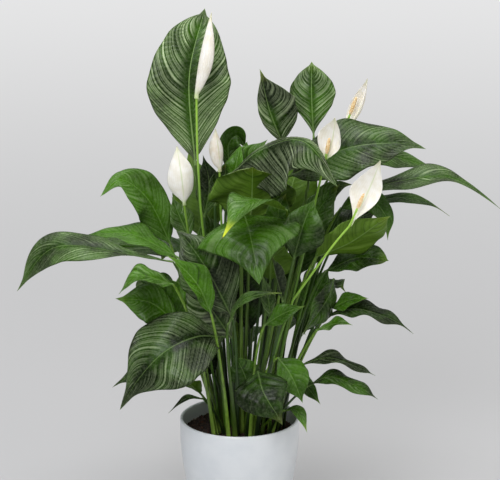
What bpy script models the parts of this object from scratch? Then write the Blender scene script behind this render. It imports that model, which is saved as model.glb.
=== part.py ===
"""Potted peace lily: a plain round pot of matt white ceramic, a plug of soil and a free-standing plant.

Metres, +Z up. The origin is the centre of the pot's flat underside, and -Y is the side that the plant shows.
Every leaf is one solid, its stalk and its blade, because it grew as one piece. Every flower is three solids:
its stem, its white spathe and its knobby spadix.
"""

import math

import bmesh
import bpy
from mathutils import Matrix, Vector
from mathutils.geometry import interpolate_bezier

# ---------------------------------------------------------------- driving dimensions
GAP = 0.0003  # clearance between pieces that rest on each other

POT_HEIGHT = 0.220
POT_WALL = 0.006
POT_FLOOR = 0.009
POT_OUTLINE = [  # (radius, height) down the outside, from under the rim to the foot
    (0.1200, 0.200), (0.1195, 0.175), (0.1170, 0.145), (0.1115, 0.105),
    (0.1040, 0.065), (0.0950, 0.030), (0.0880, 0.012),
]
POT_FOOT_RADIUS = 0.080
TURN_STEPS = 40

SOIL_TOP = 0.190
SOIL_DEPTH = 0.110

STALK_FOOT_RADIUS = 0.0042
STALK_NECK_RADIUS = 0.0024
FOOT_SHARE = 0.40  # how far out a stalk is rooted, as a share of how far out its blade starts
FOOT_REACH = 0.088  # the outermost root
FOOT_SPACING = 0.0115
BARE_SPOT = (0.052, -0.072)  # the middle of the bare soil at the front right
BARE_RADIUS = 0.036
DRIP_TIP = 0.09  # how much of a blade's length its narrow drawn-out tip takes
BLADE_THICKNESS = 0.0022
MIDRIB_SHARE = 0.10  # half the midrib's width over half the blade's width
STALK_RINGS = [0.0, 0.2, 0.4, 0.6, 0.8]
BLADE_RINGS = [0.0, 0.08, 0.20, 0.36, 0.52, 0.68, 0.82, 0.93]

FLOWER_STEM_RADIUS = 0.0020
SPATHE_THICKNESS = 0.0012
SPADIX_RADIUS = 0.0042
SPADIX_LEAN = 0.08  # how far a spadix leans out of its spathe

# Each leaf: its name, the blade's width, how far its halves fold up (radians), the way its upper
# surface faces, and the points of its midrib from the neck to the tip.
LEAVES = [
    ("leaf_crown", 0.156, 0.10, (0.05, -1.0, 0.15),
     [(-0.085, 0.00, 0.735), (-0.095, -0.01, 0.905), (-0.065, 0.01, 1.035)]),
    ("leaf_high_left", 0.094, 0.25, (0.25, -0.8, 0.55),
     [(-0.138, 0.065, 0.560), (-0.180, 0.05, 0.655), (-0.232, 0.03, 0.700), (-0.272, 0.02, 0.672)]),
    ("leaf_long_left", 0.088, 0.22, (-0.10, -0.15, 1.0),
     [(-0.128, -0.06, 0.557), (-0.217, -0.085, 0.580), (-0.350, -0.08, 0.591), (-0.430, -0.06, 0.507)]),
    ("leaf_upper_left", 0.086, 0.20, (0.0, -0.35, 0.90),
     [(-0.119, -0.01, 0.552), (-0.212, -0.01, 0.600), (-0.318, 0.00, 0.595)]),
    ("leaf_rear_left", 0.075, 0.15, (0.0, -0.3, 0.95),
     [(-0.130, 0.09, 0.527), (-0.245, 0.12, 0.563), (-0.335, 0.14, 0.560)]),
    ("leaf_pointed_left", 0.070, 0.25, (-0.2, -0.6, 0.8),
     [(-0.125, -0.11, 0.525), (-0.185, -0.14, 0.550), (-0.225, -0.15, 0.520)]),
    ("leaf_round_left", 0.080, 0.15, (-0.1, -0.7, 0.7),
     [(-0.115, -0.07, 0.430), (-0.170, -0.085, 0.482), (-0.235, -0.105, 0.496)]),
    ("leaf_broad_low_left", 0.158, 0.10, (-0.15, -0.75, 0.65),
     [(-0.025, -0.09, 0.414), (-0.083, -0.14, 0.430), (-0.152, -0.17, 0.400), (-0.226, -0.17, 0.308)]),
    ("leaf_under_left", 0.070, 0.20, (-0.2, -0.6, 0.75),
     [(-0.100, 0.00, 0.360), (-0.180, -0.01, 0.330), (-0.255, 0.00, 0.285)]),
    ("leaf_dark_left", 0.092, 0.20, (0.3, -0.9, 0.3),
     [(-0.095, -0.03, 0.400), (-0.140, -0.04, 0.470), (-0.185, -0.04, 0.530)]),
    ("leaf_centre_left", 0.120, 0.20, (0.2, -0.95, 0.3),
     [(-0.012, -0.12, 0.460), (-0.060, -0.13, 0.560), (-0.118, -0.11, 0.640)]),
    ("leaf_striped", 0.096, 0.20, (0.2, -0.95, 0.3),
     [(-0.015, -0.065, 0.405), (-0.060, -0.073, 0.475), (-0.101, -0.060, 0.531)]),
    ("leaf_underside", 0.165, 0.25, (0.0, 0.6, 0.8),
     [(0.022, -0.01, 0.624), (0.025, -0.05, 0.690), (0.026, -0.10, 0.755)]),
    ("leaf_wave", 0.112, -0.40, (0.0, -0.35, 0.94),
     [(-0.015, -0.02, 0.722), (0.040, -0.05, 0.773), (0.118, -0.10, 0.800), (0.183, -0.13, 0.731)]),
    ("leaf_behind_wave", 0.065, 0.25, (0.2, -0.9, 0.4),
     [(0.005, 0.05, 0.655), (0.010, 0.05, 0.725), (0.055, 0.06, 0.775)]),
    ("leaf_upright_dark", 0.078, 0.45, (0.3, -0.9, 0.2),
     [(0.085, 0.04, 0.770), (0.058, 0.03, 0.840), (0.040, 0.03, 0.918)]),
    ("leaf_upright_bright", 0.090, 0.15, (-0.2, -0.95, 0.2),
     [(0.145, 0.02, 0.785), (0.140, 0.02, 0.865), (0.140, 0.03, 0.938)]),
    ("leaf_broad_right", 0.128, 0.15, (0.0, -0.75, 0.65),
     [(0.095, 0.00, 0.712), (0.212, -0.03, 0.775), (0.356, -0.04, 0.788)]),
    ("leaf_long_right", 0.068, 0.15, (0.0, -0.40, 0.90),
     [(0.215, 0.03, 0.664), (0.313, 0.00, 0.704), (0.407, -0.02, 0.714), (0.504, -0.03, 0.664)]),
    ("leaf_back_right", 0.070, 0.15, (0.0, -0.3, 0.95),
     [(0.180, 0.07, 0.700), (0.290, 0.09, 0.735), (0.415, 0.10, 0.700)]),
    ("leaf_low_right", 0.050, 0.15, (0.0, -0.3, 0.95),
     [(0.220, 0.09, 0.625), (0.325, 0.10, 0.650), (0.425, 0.11, 0.620)]),
    ("leaf_droop_right", 0.050, 0.25, (0.6, -0.8, 0.4),
     [(0.200, 0.04, 0.640), (0.255, 0.03, 0.660), (0.290, 0.03, 0.625), (0.295, 0.04, 0.580)]),
    ("leaf_pale_right", 0.125, 0.15, (0.1, 0.5, 0.85),
     [(0.150, -0.03, 0.560), (0.215, -0.07, 0.600), (0.284, -0.11, 0.662)]),
    ("leaf_rounded_right", 0.088, 0.15, (0.0, -0.4, 0.9),
     [(0.168, -0.012, 0.525), (0.230, -0.025, 0.556), (0.290, -0.04, 0.556)]),
    ("leaf_diagonal", 0.086, 0.25, (-0.5, -0.8, 0.2),
     [(0.125, -0.01, 0.570), (0.152, 0.00, 0.640), (0.196, 0.01, 0.700)]),
    ("leaf_cup", 0.084, 0.45, (0.2, -0.9, 0.3),
     [(0.104, -0.09, 0.570), (0.122, -0.10, 0.640), (0.142, -0.10, 0.690)]),
    ("leaf_dark_curl", 0.052, 0.45, (0.2, -0.9, 0.3),
     [(0.080, -0.05, 0.600), (0.075, -0.06, 0.655), (0.090, -0.05, 0.690)]),
    ("leaf_yellow_tip", 0.092, 0.20, (-0.1, -0.15, 1.0),
     [(0.090, -0.10, 0.668), (0.021, -0.180, 0.699), (-0.030, -0.222, 0.646)]),
    ("leaf_front_broad", 0.198, 0.10, (0.0, -0.85, 0.50),
     [(0.010, -0.07, 0.652), (0.021, -0.145, 0.632), (0.038, -0.200, 0.555)]),
    ("leaf_down_right", 0.068, 0.20, (0.7, -0.6, 0.2),
     [(0.185, -0.03, 0.515), (0.170, -0.06, 0.480), (0.122, -0.09, 0.420)]),
    ("leaf_wavy_right", 0.060, 0.15, (0.0, -0.35, 0.93),
     [(0.165, -0.03, 0.435), (0.220, -0.05, 0.460), (0.283, -0.07, 0.450), (0.337, -0.08, 0.425)]),
    ("leaf_twist_upper", 0.050, 0.15, (0.0, -0.4, 1.0),
     [(0.115, -0.07, 0.350), (0.178, -0.09, 0.372), (0.262, -0.11, 0.345)]),
    ("leaf_twist_lower", 0.056, 0.15, (0.0, -0.4, 1.0),
     [(0.130, -0.08, 0.310), (0.180, -0.11, 0.340), (0.265, -0.14, 0.312)]),
    ("leaf_front_bright", 0.064, 0.20, (0.2, -0.9, 0.4),
     [(0.075, -0.105, 0.378), (0.100, -0.12, 0.347), (0.122, -0.13, 0.296)]),
    ("leaf_front_heart", 0.105, 0.12, (0.0, -0.85, 0.5),
     [(0.036, -0.12, 0.355), (0.048, -0.165, 0.325), (0.082, -0.185, 0.275)]),
    ("leaf_rear_arch_left", 0.110, 0.12, (0.0, 0.4, 0.9),
     [(-0.085, 0.11, 0.500), (-0.130, 0.20, 0.540), (-0.170, 0.29, 0.480)]),
    ("leaf_rear_arch_middle", 0.120, 0.12, (0.0, 0.5, 0.9),
     [(0.020, 0.10, 0.570), (0.030, 0.20, 0.620), (0.040, 0.30, 0.570)]),
    ("leaf_rear_arch_right", 0.110, 0.12, (0.1, 0.4, 0.9),
     [(0.110, 0.10, 0.510), (0.170, 0.18, 0.550), (0.220, 0.27, 0.500)]),
    ("leaf_rear_low_left", 0.100, 0.12, (-0.1, 0.5, 0.8),
     [(-0.045, 0.085, 0.370), (-0.090, 0.17, 0.395), (-0.120, 0.25, 0.330)]),
    ("leaf_rear_low_right", 0.100, 0.12, (0.1, 0.5, 0.8),
     [(0.070, 0.08, 0.360), (0.110, 0.17, 0.385), (0.140, 0.24, 0.320)]),
]

# Each flower: its name, the points of its stem above the soil up to the spathe's foot, the spathe's
# tip, its half breadth measured round the curve, how far each half wraps (radians), the way its inside
# faces, how far the stem goes on inside the spathe, and the length of the spadix that ends it.
FLOWERS = [
    ("tall_bud", [(-0.074, -0.04, 0.660), (-0.079, -0.05, 0.770), (-0.080, -0.05, 0.872)],
     (-0.051, -0.05, 1.033), 0.036, 2.50, (1.0, 0.05, 0.0), 0.060, 0.060),
    ("left_flower", [(-0.100, 0.00, 0.600), (-0.106, -0.03, 0.662)],
     (-0.119, -0.03, 0.777), 0.030, 0.90, (-0.2, 1.0, 0.1), 0.012, 0.040),
    ("small_bud", [(-0.037, 0.01, 0.660), (-0.038, 0.00, 0.722)],
     (-0.046, 0.00, 0.806), 0.021, 1.40, (-0.5, 0.9, 0.1), 0.012, 0.036),
    ("high_flower", [(0.195, 0.03, 0.725), (0.204, 0.03, 0.797)],
     (0.248, 0.03, 0.899), 0.026, 1.20, (-0.9, -0.45, 0.3), 0.034, 0.036),
    ("middle_flower", [(0.148, -0.045, 0.680), (0.163, -0.08, 0.762)],
     (0.180, -0.08, 0.840), 0.030, 0.90, (-0.5, -0.8, 0.2), 0.010, 0.030),
    ("right_flower", [(0.104, -0.11, 0.496), (0.173, -0.12, 0.598), (0.208, -0.12, 0.642)],
     (0.264, -0.11, 0.764), 0.034, 0.85, (-0.3, -0.9, 0.3), 0.036, 0.030),
]


# ---------------------------------------------------------------- helpers
def new_object(name, mesh, colour, roughness):
    """Puts a mesh in the plant's collection as one named object with its own material."""
    material = bpy.data.materials.new(name)
    material.use_nodes = True
    shader = material.node_tree.nodes["Principled BSDF"]
    shader.inputs["Base Color"].default_value = (*colour, 1.0)
    shader.inputs["Roughness"].default_value = roughness
    shader.inputs["Metallic"].default_value = 0.0
    obj = bpy.data.objects.new(name, mesh)
    obj.data.materials.append(material)
    bpy.data.collections["potted_peace_lily"].objects.link(obj)
    return obj


def turned(name, profile, colour, roughness):
    """A closed profile of (radius, height) points that starts and ends on the axis, turned about Z."""
    shape = bmesh.new()
    points = [shape.verts.new((radius, 0.0, height)) for radius, height in profile]
    for first, second in zip(points, points[1:]):
        shape.edges.new((first, second))
    mesh = bpy.data.meshes.new(name)
    shape.to_mesh(mesh)
    shape.free()
    obj = new_object(name, mesh, colour, roughness)
    screw = obj.modifiers.new("turn", "SCREW")
    screw.axis = "Z"
    screw.steps = TURN_STEPS
    screw.render_steps = TURN_STEPS
    screw.use_merge_vertices = True
    screw.merge_threshold = 0.00001
    screw.use_smooth_shade = True
    return obj


def spline_point(points, share):
    """A point on the smooth curve through the given points, at a share of its length in chords."""
    chords = [(b - a).length for a, b in zip(points, points[1:])]
    distance = share * sum(chords)
    index = 0
    while index < len(chords) - 1 and distance > chords[index]:
        distance -= chords[index]
        index += 1
    t = distance / chords[index]
    start, end = points[index], points[index + 1]
    before = points[index - 1] if index else start + (start - end)
    after = points[index + 2] if index + 2 < len(points) else end + (end - start)
    leave = (end - before) * 0.5
    arrive = (after - start) * 0.5
    return (
        start * (2 * t**3 - 3 * t**2 + 1)
        + leave * (t**3 - 2 * t**2 + t)
        + end * (3 * t**2 - 2 * t**3)
        + arrive * (t**3 - t**2)
    )


def spline_tangent(points, share):
    """The curve's direction at a share of its length."""
    step = 0.01
    return (
        spline_point(points, min(share + step, 1.0)) - spline_point(points, max(share - step, 0.0))
    ).normalized()


def loft(name, rings, tip, colour, roughness):
    """Joins rings of points, closing the first with a face and the last at a tip."""
    shape = bmesh.new()
    verts = [[shape.verts.new(point) for point in ring] for ring in rings]
    count = len(rings[0])
    shape.faces.new(verts[0][::-1])
    for lower, upper in zip(verts, verts[1:]):
        for i in range(count):
            j = (i + 1) % count
            shape.faces.new((lower[i], lower[j], upper[j], upper[i]))
    end = shape.verts.new(tip)
    for i in range(count):
        shape.faces.new((verts[-1][i], verts[-1][(i + 1) % count], end))
    bmesh.ops.recalc_face_normals(shape, faces=shape.faces)
    bmesh.ops.triangulate(shape, faces=shape.faces)
    mesh = bpy.data.meshes.new(name)
    shape.to_mesh(mesh)
    shape.free()
    mesh.shade_smooth()
    return new_object(name, mesh, colour, roughness)


# ---------------------------------------------------------------- pot and soil
def build_pot():
    """One ceramic shell: outer wall, rounded rim, inner wall and a flat closed floor."""
    rim_radius = POT_OUTLINE[0][0]
    half_wall = POT_WALL / 2
    profile = [(0.0, POT_FLOOR)]
    inner = [(radius - POT_WALL, max(height, POT_FLOOR)) for radius, height in POT_OUTLINE]
    profile += [(POT_FOOT_RADIUS - POT_WALL, POT_FLOOR)] + inner[::-1]
    rim_centre = (rim_radius - half_wall, POT_HEIGHT - half_wall)
    for step in range(7):
        angle = math.pi * (1 - step / 6)
        profile.append(
            (rim_centre[0] + half_wall * math.cos(angle), rim_centre[1] + half_wall * math.sin(angle))
        )
    profile += POT_OUTLINE
    profile += [(POT_FOOT_RADIUS + 0.003, 0.003), (POT_FOOT_RADIUS, 0.0), (0.0, 0.0)]
    return turned("pot", profile, (0.72, 0.74, 0.75), 0.45)


def build_soil():
    """A plug of potting soil that sits on the pot's tapering inner wall."""
    bottom = SOIL_TOP - SOIL_DEPTH
    wall = [
        (radius - POT_WALL - 2 * GAP, height)
        for radius, height in POT_OUTLINE
        if bottom < height < SOIL_TOP
    ]
    top_radius = POT_OUTLINE[1][0] - POT_WALL - 2 * GAP
    bottom_radius = wall[-1][0] - 0.010
    profile = [(0.0, SOIL_TOP), (top_radius, SOIL_TOP)] + wall
    profile += [(bottom_radius, bottom), (0.0, bottom)]
    return turned("soil", profile, (0.025, 0.014, 0.010), 0.95)


# ---------------------------------------------------------------- leaves
def feet_of(starts):
    """Where each stalk leaves the soil: below its own blade, drawn in, and clear of its neighbours."""
    feet = []
    for start in starts:
        foot = Vector((start.x, start.y)) * FOOT_SHARE
        if foot.length > FOOT_REACH:
            foot *= FOOT_REACH / foot.length
        feet.append(foot)
    for _ in range(60):
        for i, first in enumerate(feet):
            for second in feet[i + 1 :]:
                apart = second - first
                if apart.length < FOOT_SPACING:
                    push = apart.normalized() * (FOOT_SPACING - apart.length) / 2
                    first -= push
                    second += push
            clear = first - Vector(BARE_SPOT)
            if clear.length < BARE_RADIUS:
                first += clear.normalized() * (BARE_RADIUS - clear.length)
            if first.length > FOOT_REACH:
                first *= FOOT_REACH / first.length
    return [Vector((foot.x, foot.y, SOIL_TOP + GAP)) for foot in feet]


def stalk_path(foot, neck, leaving, count):
    """A stalk's curve: straight up out of the soil, then over to the neck."""
    reach = (neck - foot).length
    rise = foot + (Vector((0, 0, 1)) + (neck - foot) / reach).normalized() * reach * 0.35
    arrive = neck - (leaving * 0.35 + (neck - foot) / reach * 0.65).normalized() * reach * 0.25
    return interpolate_bezier(foot, rise, arrive, neck, count)


def blade_share(s):
    """Half breadth of a leaf as a share of its greatest: an oval body that ends in a narrow spur."""
    t = min(s / (1 - 0.55 * DRIP_TIP), 1.0)
    body = max(math.sin(math.pi * t**1.05), 0.0) ** (1.0 + 0.1 * t)
    spur = 0.15 * ((1 - s) / DRIP_TIP) ** 0.9 * min(max((s - 0.55) / 0.25, 0.0), 1.0)
    return (body**3 + spur**3) ** (1 / 3)


def leaf_ring(centre, tangent, face, half, rib, thickness, fold):
    """Six points round the midrib: two edges, and the midrib's flat band above and below."""
    across = tangent.cross(face).normalized()
    up = across.cross(tangent)
    lift = half * math.sin(fold)
    reach = half * math.cos(fold)
    offsets = [
        (-reach, lift), (-rib, thickness), (rib, thickness),
        (reach, lift), (rib, -thickness), (-rib, -thickness),
    ]
    return [centre + across * a + up * b for a, b in offsets]


def build_leaf(name, width, fold, face, points, foot):
    """One leaf, lofted from a round stalk to a thin folded blade."""
    face = Vector(face).normalized()
    leaving = spline_tangent(points, 0.02)
    stalk = stalk_path(foot, points[0], leaving, 41)
    rings = []
    for share in STALK_RINGS:
        index = round(share * 40)
        radius = STALK_FOOT_RADIUS + (STALK_NECK_RADIUS - STALK_FOOT_RADIUS) * share
        tangent = (stalk[min(index + 1, 40)] - stalk[max(index - 1, 0)]).normalized()
        if index == 0:
            tangent = Vector((0, 0, 1))
        rings.append(leaf_ring(stalk[index], tangent, face, radius, radius / 2, radius * 0.87, 0.0))
    for share in BLADE_RINGS:
        half = max(width / 2 * blade_share(share), STALK_NECK_RADIUS)
        rib = max(half * MIDRIB_SHARE, STALK_NECK_RADIUS / 2 * (1 - share))
        thickness = max(BLADE_THICKNESS / 2, STALK_NECK_RADIUS * 0.87 * (1 - share * 3)) * (1.1 - share * 0.6)
        centre = spline_point(points, share)
        bend = fold * min(share * 8, 1)
        rings.append(
            leaf_ring(centre, spline_tangent(points, share), face, half, rib, thickness, bend)
        )
    return loft(name, rings, points[-1], (0.015, 0.075, 0.015), 0.35)


# ---------------------------------------------------------------- flowers
def build_stem(name, foot, points, end):
    """A flower's round stem, one smooth tube from the soil through the spathe's foot to the spadix."""
    first = stalk_path(foot, points[0], (points[1] - points[0]).normalized(), 9)
    path = [foot, foot + Vector((0, 0, 0.004)), first[2], first[4], first[6]]
    path += [spline_point(points, step / 4) for step in range(5)]
    path.append(end)
    curve = bpy.data.curves.new(name, "CURVE")
    curve.dimensions = "3D"
    curve.bevel_depth = FLOWER_STEM_RADIUS
    curve.bevel_resolution = 1
    curve.use_fill_caps = True
    spline = curve.splines.new("POLY")
    spline.points.add(len(path) - 1)
    for target, point in zip(spline.points, path):
        target.co = (*point, 1.0)
    return new_object(name, curve, (0.16, 0.30, 0.05), 0.45)


def spathe_share(u):
    """A spathe's half breadth as a share of its greatest, from its base to its thread-like tip."""
    u = 0.05 + 0.95 * u
    return max(math.sin(math.pi * u**0.95), 0.0) ** (1.15 + 0.25 * u)


def build_spathe(name, base, tip, half, wrap, face):
    """A curved hood: an open sheet given a wall, whose foot clasps the stem from behind."""
    axis = (tip - base).normalized()
    across = axis.cross(face).normalized()
    inward = across.cross(axis)
    clasp = FLOWER_STEM_RADIUS + SPATHE_THICKNESS + 0.0008
    length = (tip - base).length
    rows, columns = 8, 6
    shape = bmesh.new()
    grid = []
    for row in range(rows + 1):
        u = row / rows * 0.97
        radius = max(half * spathe_share(u) / wrap, clasp * (1 - u) + 0.0008 * u)
        bow = 0.10 * length * math.sin(math.pi * u) * (0.3 if wrap > 1.2 else 1.0)
        back = base - inward * (clasp * (1 - u) + bow) + axis * length * u
        line = []
        for column in range(columns + 1):
            angle = wrap * (2 * column / columns - 1)
            line.append(
                shape.verts.new(
                    back + across * radius * math.sin(angle) + inward * radius * (1 - math.cos(angle))
                )
            )
        grid.append(line)
    for lower, upper in zip(grid, grid[1:]):
        for i in range(columns):
            shape.faces.new((lower[i], lower[i + 1], upper[i + 1], upper[i]))
    mesh = bpy.data.meshes.new(name)
    shape.to_mesh(mesh)
    shape.free()
    mesh.shade_smooth()
    obj = new_object(name, mesh, (0.80, 0.78, 0.66), 0.55)
    wall = obj.modifiers.new("wall", "SOLIDIFY")
    wall.thickness = SPATHE_THICKNESS
    wall.offset = 0.0
    return obj


def build_spadix(name, base, axis, length):
    """The knobby spike inside the spathe: a stretched ball that stands on the stem's end."""
    shape = bmesh.new()
    bmesh.ops.create_uvsphere(shape, u_segments=8, v_segments=6, radius=1.0)
    stretch = Matrix.Diagonal((SPADIX_RADIUS, SPADIX_RADIUS, length / 2, 1.0))
    turn = Vector((0, 0, 1)).rotation_difference(axis).to_matrix().to_4x4()
    centre = base + axis * (length / 2 + GAP)
    shape.transform(Matrix.Translation(centre) @ turn @ stretch)
    mesh = bpy.data.meshes.new(name)
    shape.to_mesh(mesh)
    shape.free()
    mesh.shade_smooth()
    return new_object(name, mesh, (0.75, 0.55, 0.25), 0.6)


# ---------------------------------------------------------------- the object
def main():
    for obj in list(bpy.data.objects):
        bpy.data.objects.remove(obj, do_unlink=True)
    collection = bpy.data.collections.new("potted_peace_lily")
    bpy.context.scene.collection.children.link(collection)

    build_pot()
    build_soil()

    starts = [Vector(leaf[4][0]) for leaf in LEAVES] + [Vector(flower[1][0]) for flower in FLOWERS]
    feet = feet_of(starts)
    for (name, width, fold, face, points), foot in zip(LEAVES, feet):
        build_leaf(name, width, fold, face, [Vector(point) for point in points], foot)

    for (name, points, tip, half, wrap, face, inside, spike), foot in zip(FLOWERS, feet[len(LEAVES) :]):
        points = [Vector(point) for point in points]
        tip = Vector(tip)
        face = Vector(face).normalized()
        base = points[-1]
        lean = ((tip - base).normalized() + face * SPADIX_LEAN).normalized()
        end = base + lean * inside
        build_stem(name + "_stem", foot, points, end)
        build_spathe(name + "_spathe", base, tip, half, wrap, face)
        build_spadix(name + "_spadix", end, lean, spike)


main()
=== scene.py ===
"""Looks of the potted peace lily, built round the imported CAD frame.

Metres, +Z up, origin at the centre of the pot's underside, and -Y is the side that the plant shows.
The plant's layout is the CAD model's own: the same midribs, feet and flower stems, made finer here.
"""

import math

import bpy
import numpy as np
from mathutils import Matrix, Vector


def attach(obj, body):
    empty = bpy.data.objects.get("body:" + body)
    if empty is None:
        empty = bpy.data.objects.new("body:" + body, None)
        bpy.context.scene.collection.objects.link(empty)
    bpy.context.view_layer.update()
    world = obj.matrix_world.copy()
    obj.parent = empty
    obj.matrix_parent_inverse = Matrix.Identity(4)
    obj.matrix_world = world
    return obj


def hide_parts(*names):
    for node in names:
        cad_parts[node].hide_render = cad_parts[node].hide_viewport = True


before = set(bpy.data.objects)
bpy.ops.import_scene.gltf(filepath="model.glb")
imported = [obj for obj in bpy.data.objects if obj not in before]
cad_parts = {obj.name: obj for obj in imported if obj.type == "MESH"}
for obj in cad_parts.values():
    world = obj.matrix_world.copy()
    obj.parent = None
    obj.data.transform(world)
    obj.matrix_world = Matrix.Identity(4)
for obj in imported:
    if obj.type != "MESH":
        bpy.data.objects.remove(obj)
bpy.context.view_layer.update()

# ---------------------------------------------------------------- the layout, as the CAD model has it
GAP = 0.0003  # clearance between pieces that rest on each other

POT_HEIGHT = 0.220
POT_WALL = 0.006
POT_FLOOR = 0.009
POT_OUTLINE = [  # (radius, height) down the outside, from under the rim to the foot
    (0.1200, 0.200), (0.1195, 0.175), (0.1170, 0.145), (0.1115, 0.105),
    (0.1040, 0.065), (0.0950, 0.030), (0.0880, 0.012),
]
POT_FOOT_RADIUS = 0.080
POT_FOOT_BEND = 0.004

SOIL_TOP = 0.190
SOIL_DEPTH = 0.110

STALK_FOOT_RADIUS = 0.0042
STALK_NECK_RADIUS = 0.0024
FOOT_SHARE = 0.40  # how far out a stalk is rooted, as a share of how far out its blade starts
FOOT_REACH = 0.088  # the outermost root
FOOT_SPACING = 0.0115  # between the middles of two stalks where they leave the soil
BARE_SPOT = (0.052, -0.072)  # the middle of the bare soil at the front right
BARE_RADIUS = 0.036

FLOWER_STEM_RADIUS = 0.0020
SPATHE_THICKNESS = 0.0012
SPATHE_CLEARANCE = 0.0008  # between the stem and the foot of the spathe round it
SPADIX_RADIUS = 0.0042
SPADIX_LEAN = 0.08  # how far a spadix leans out of its spathe

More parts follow.
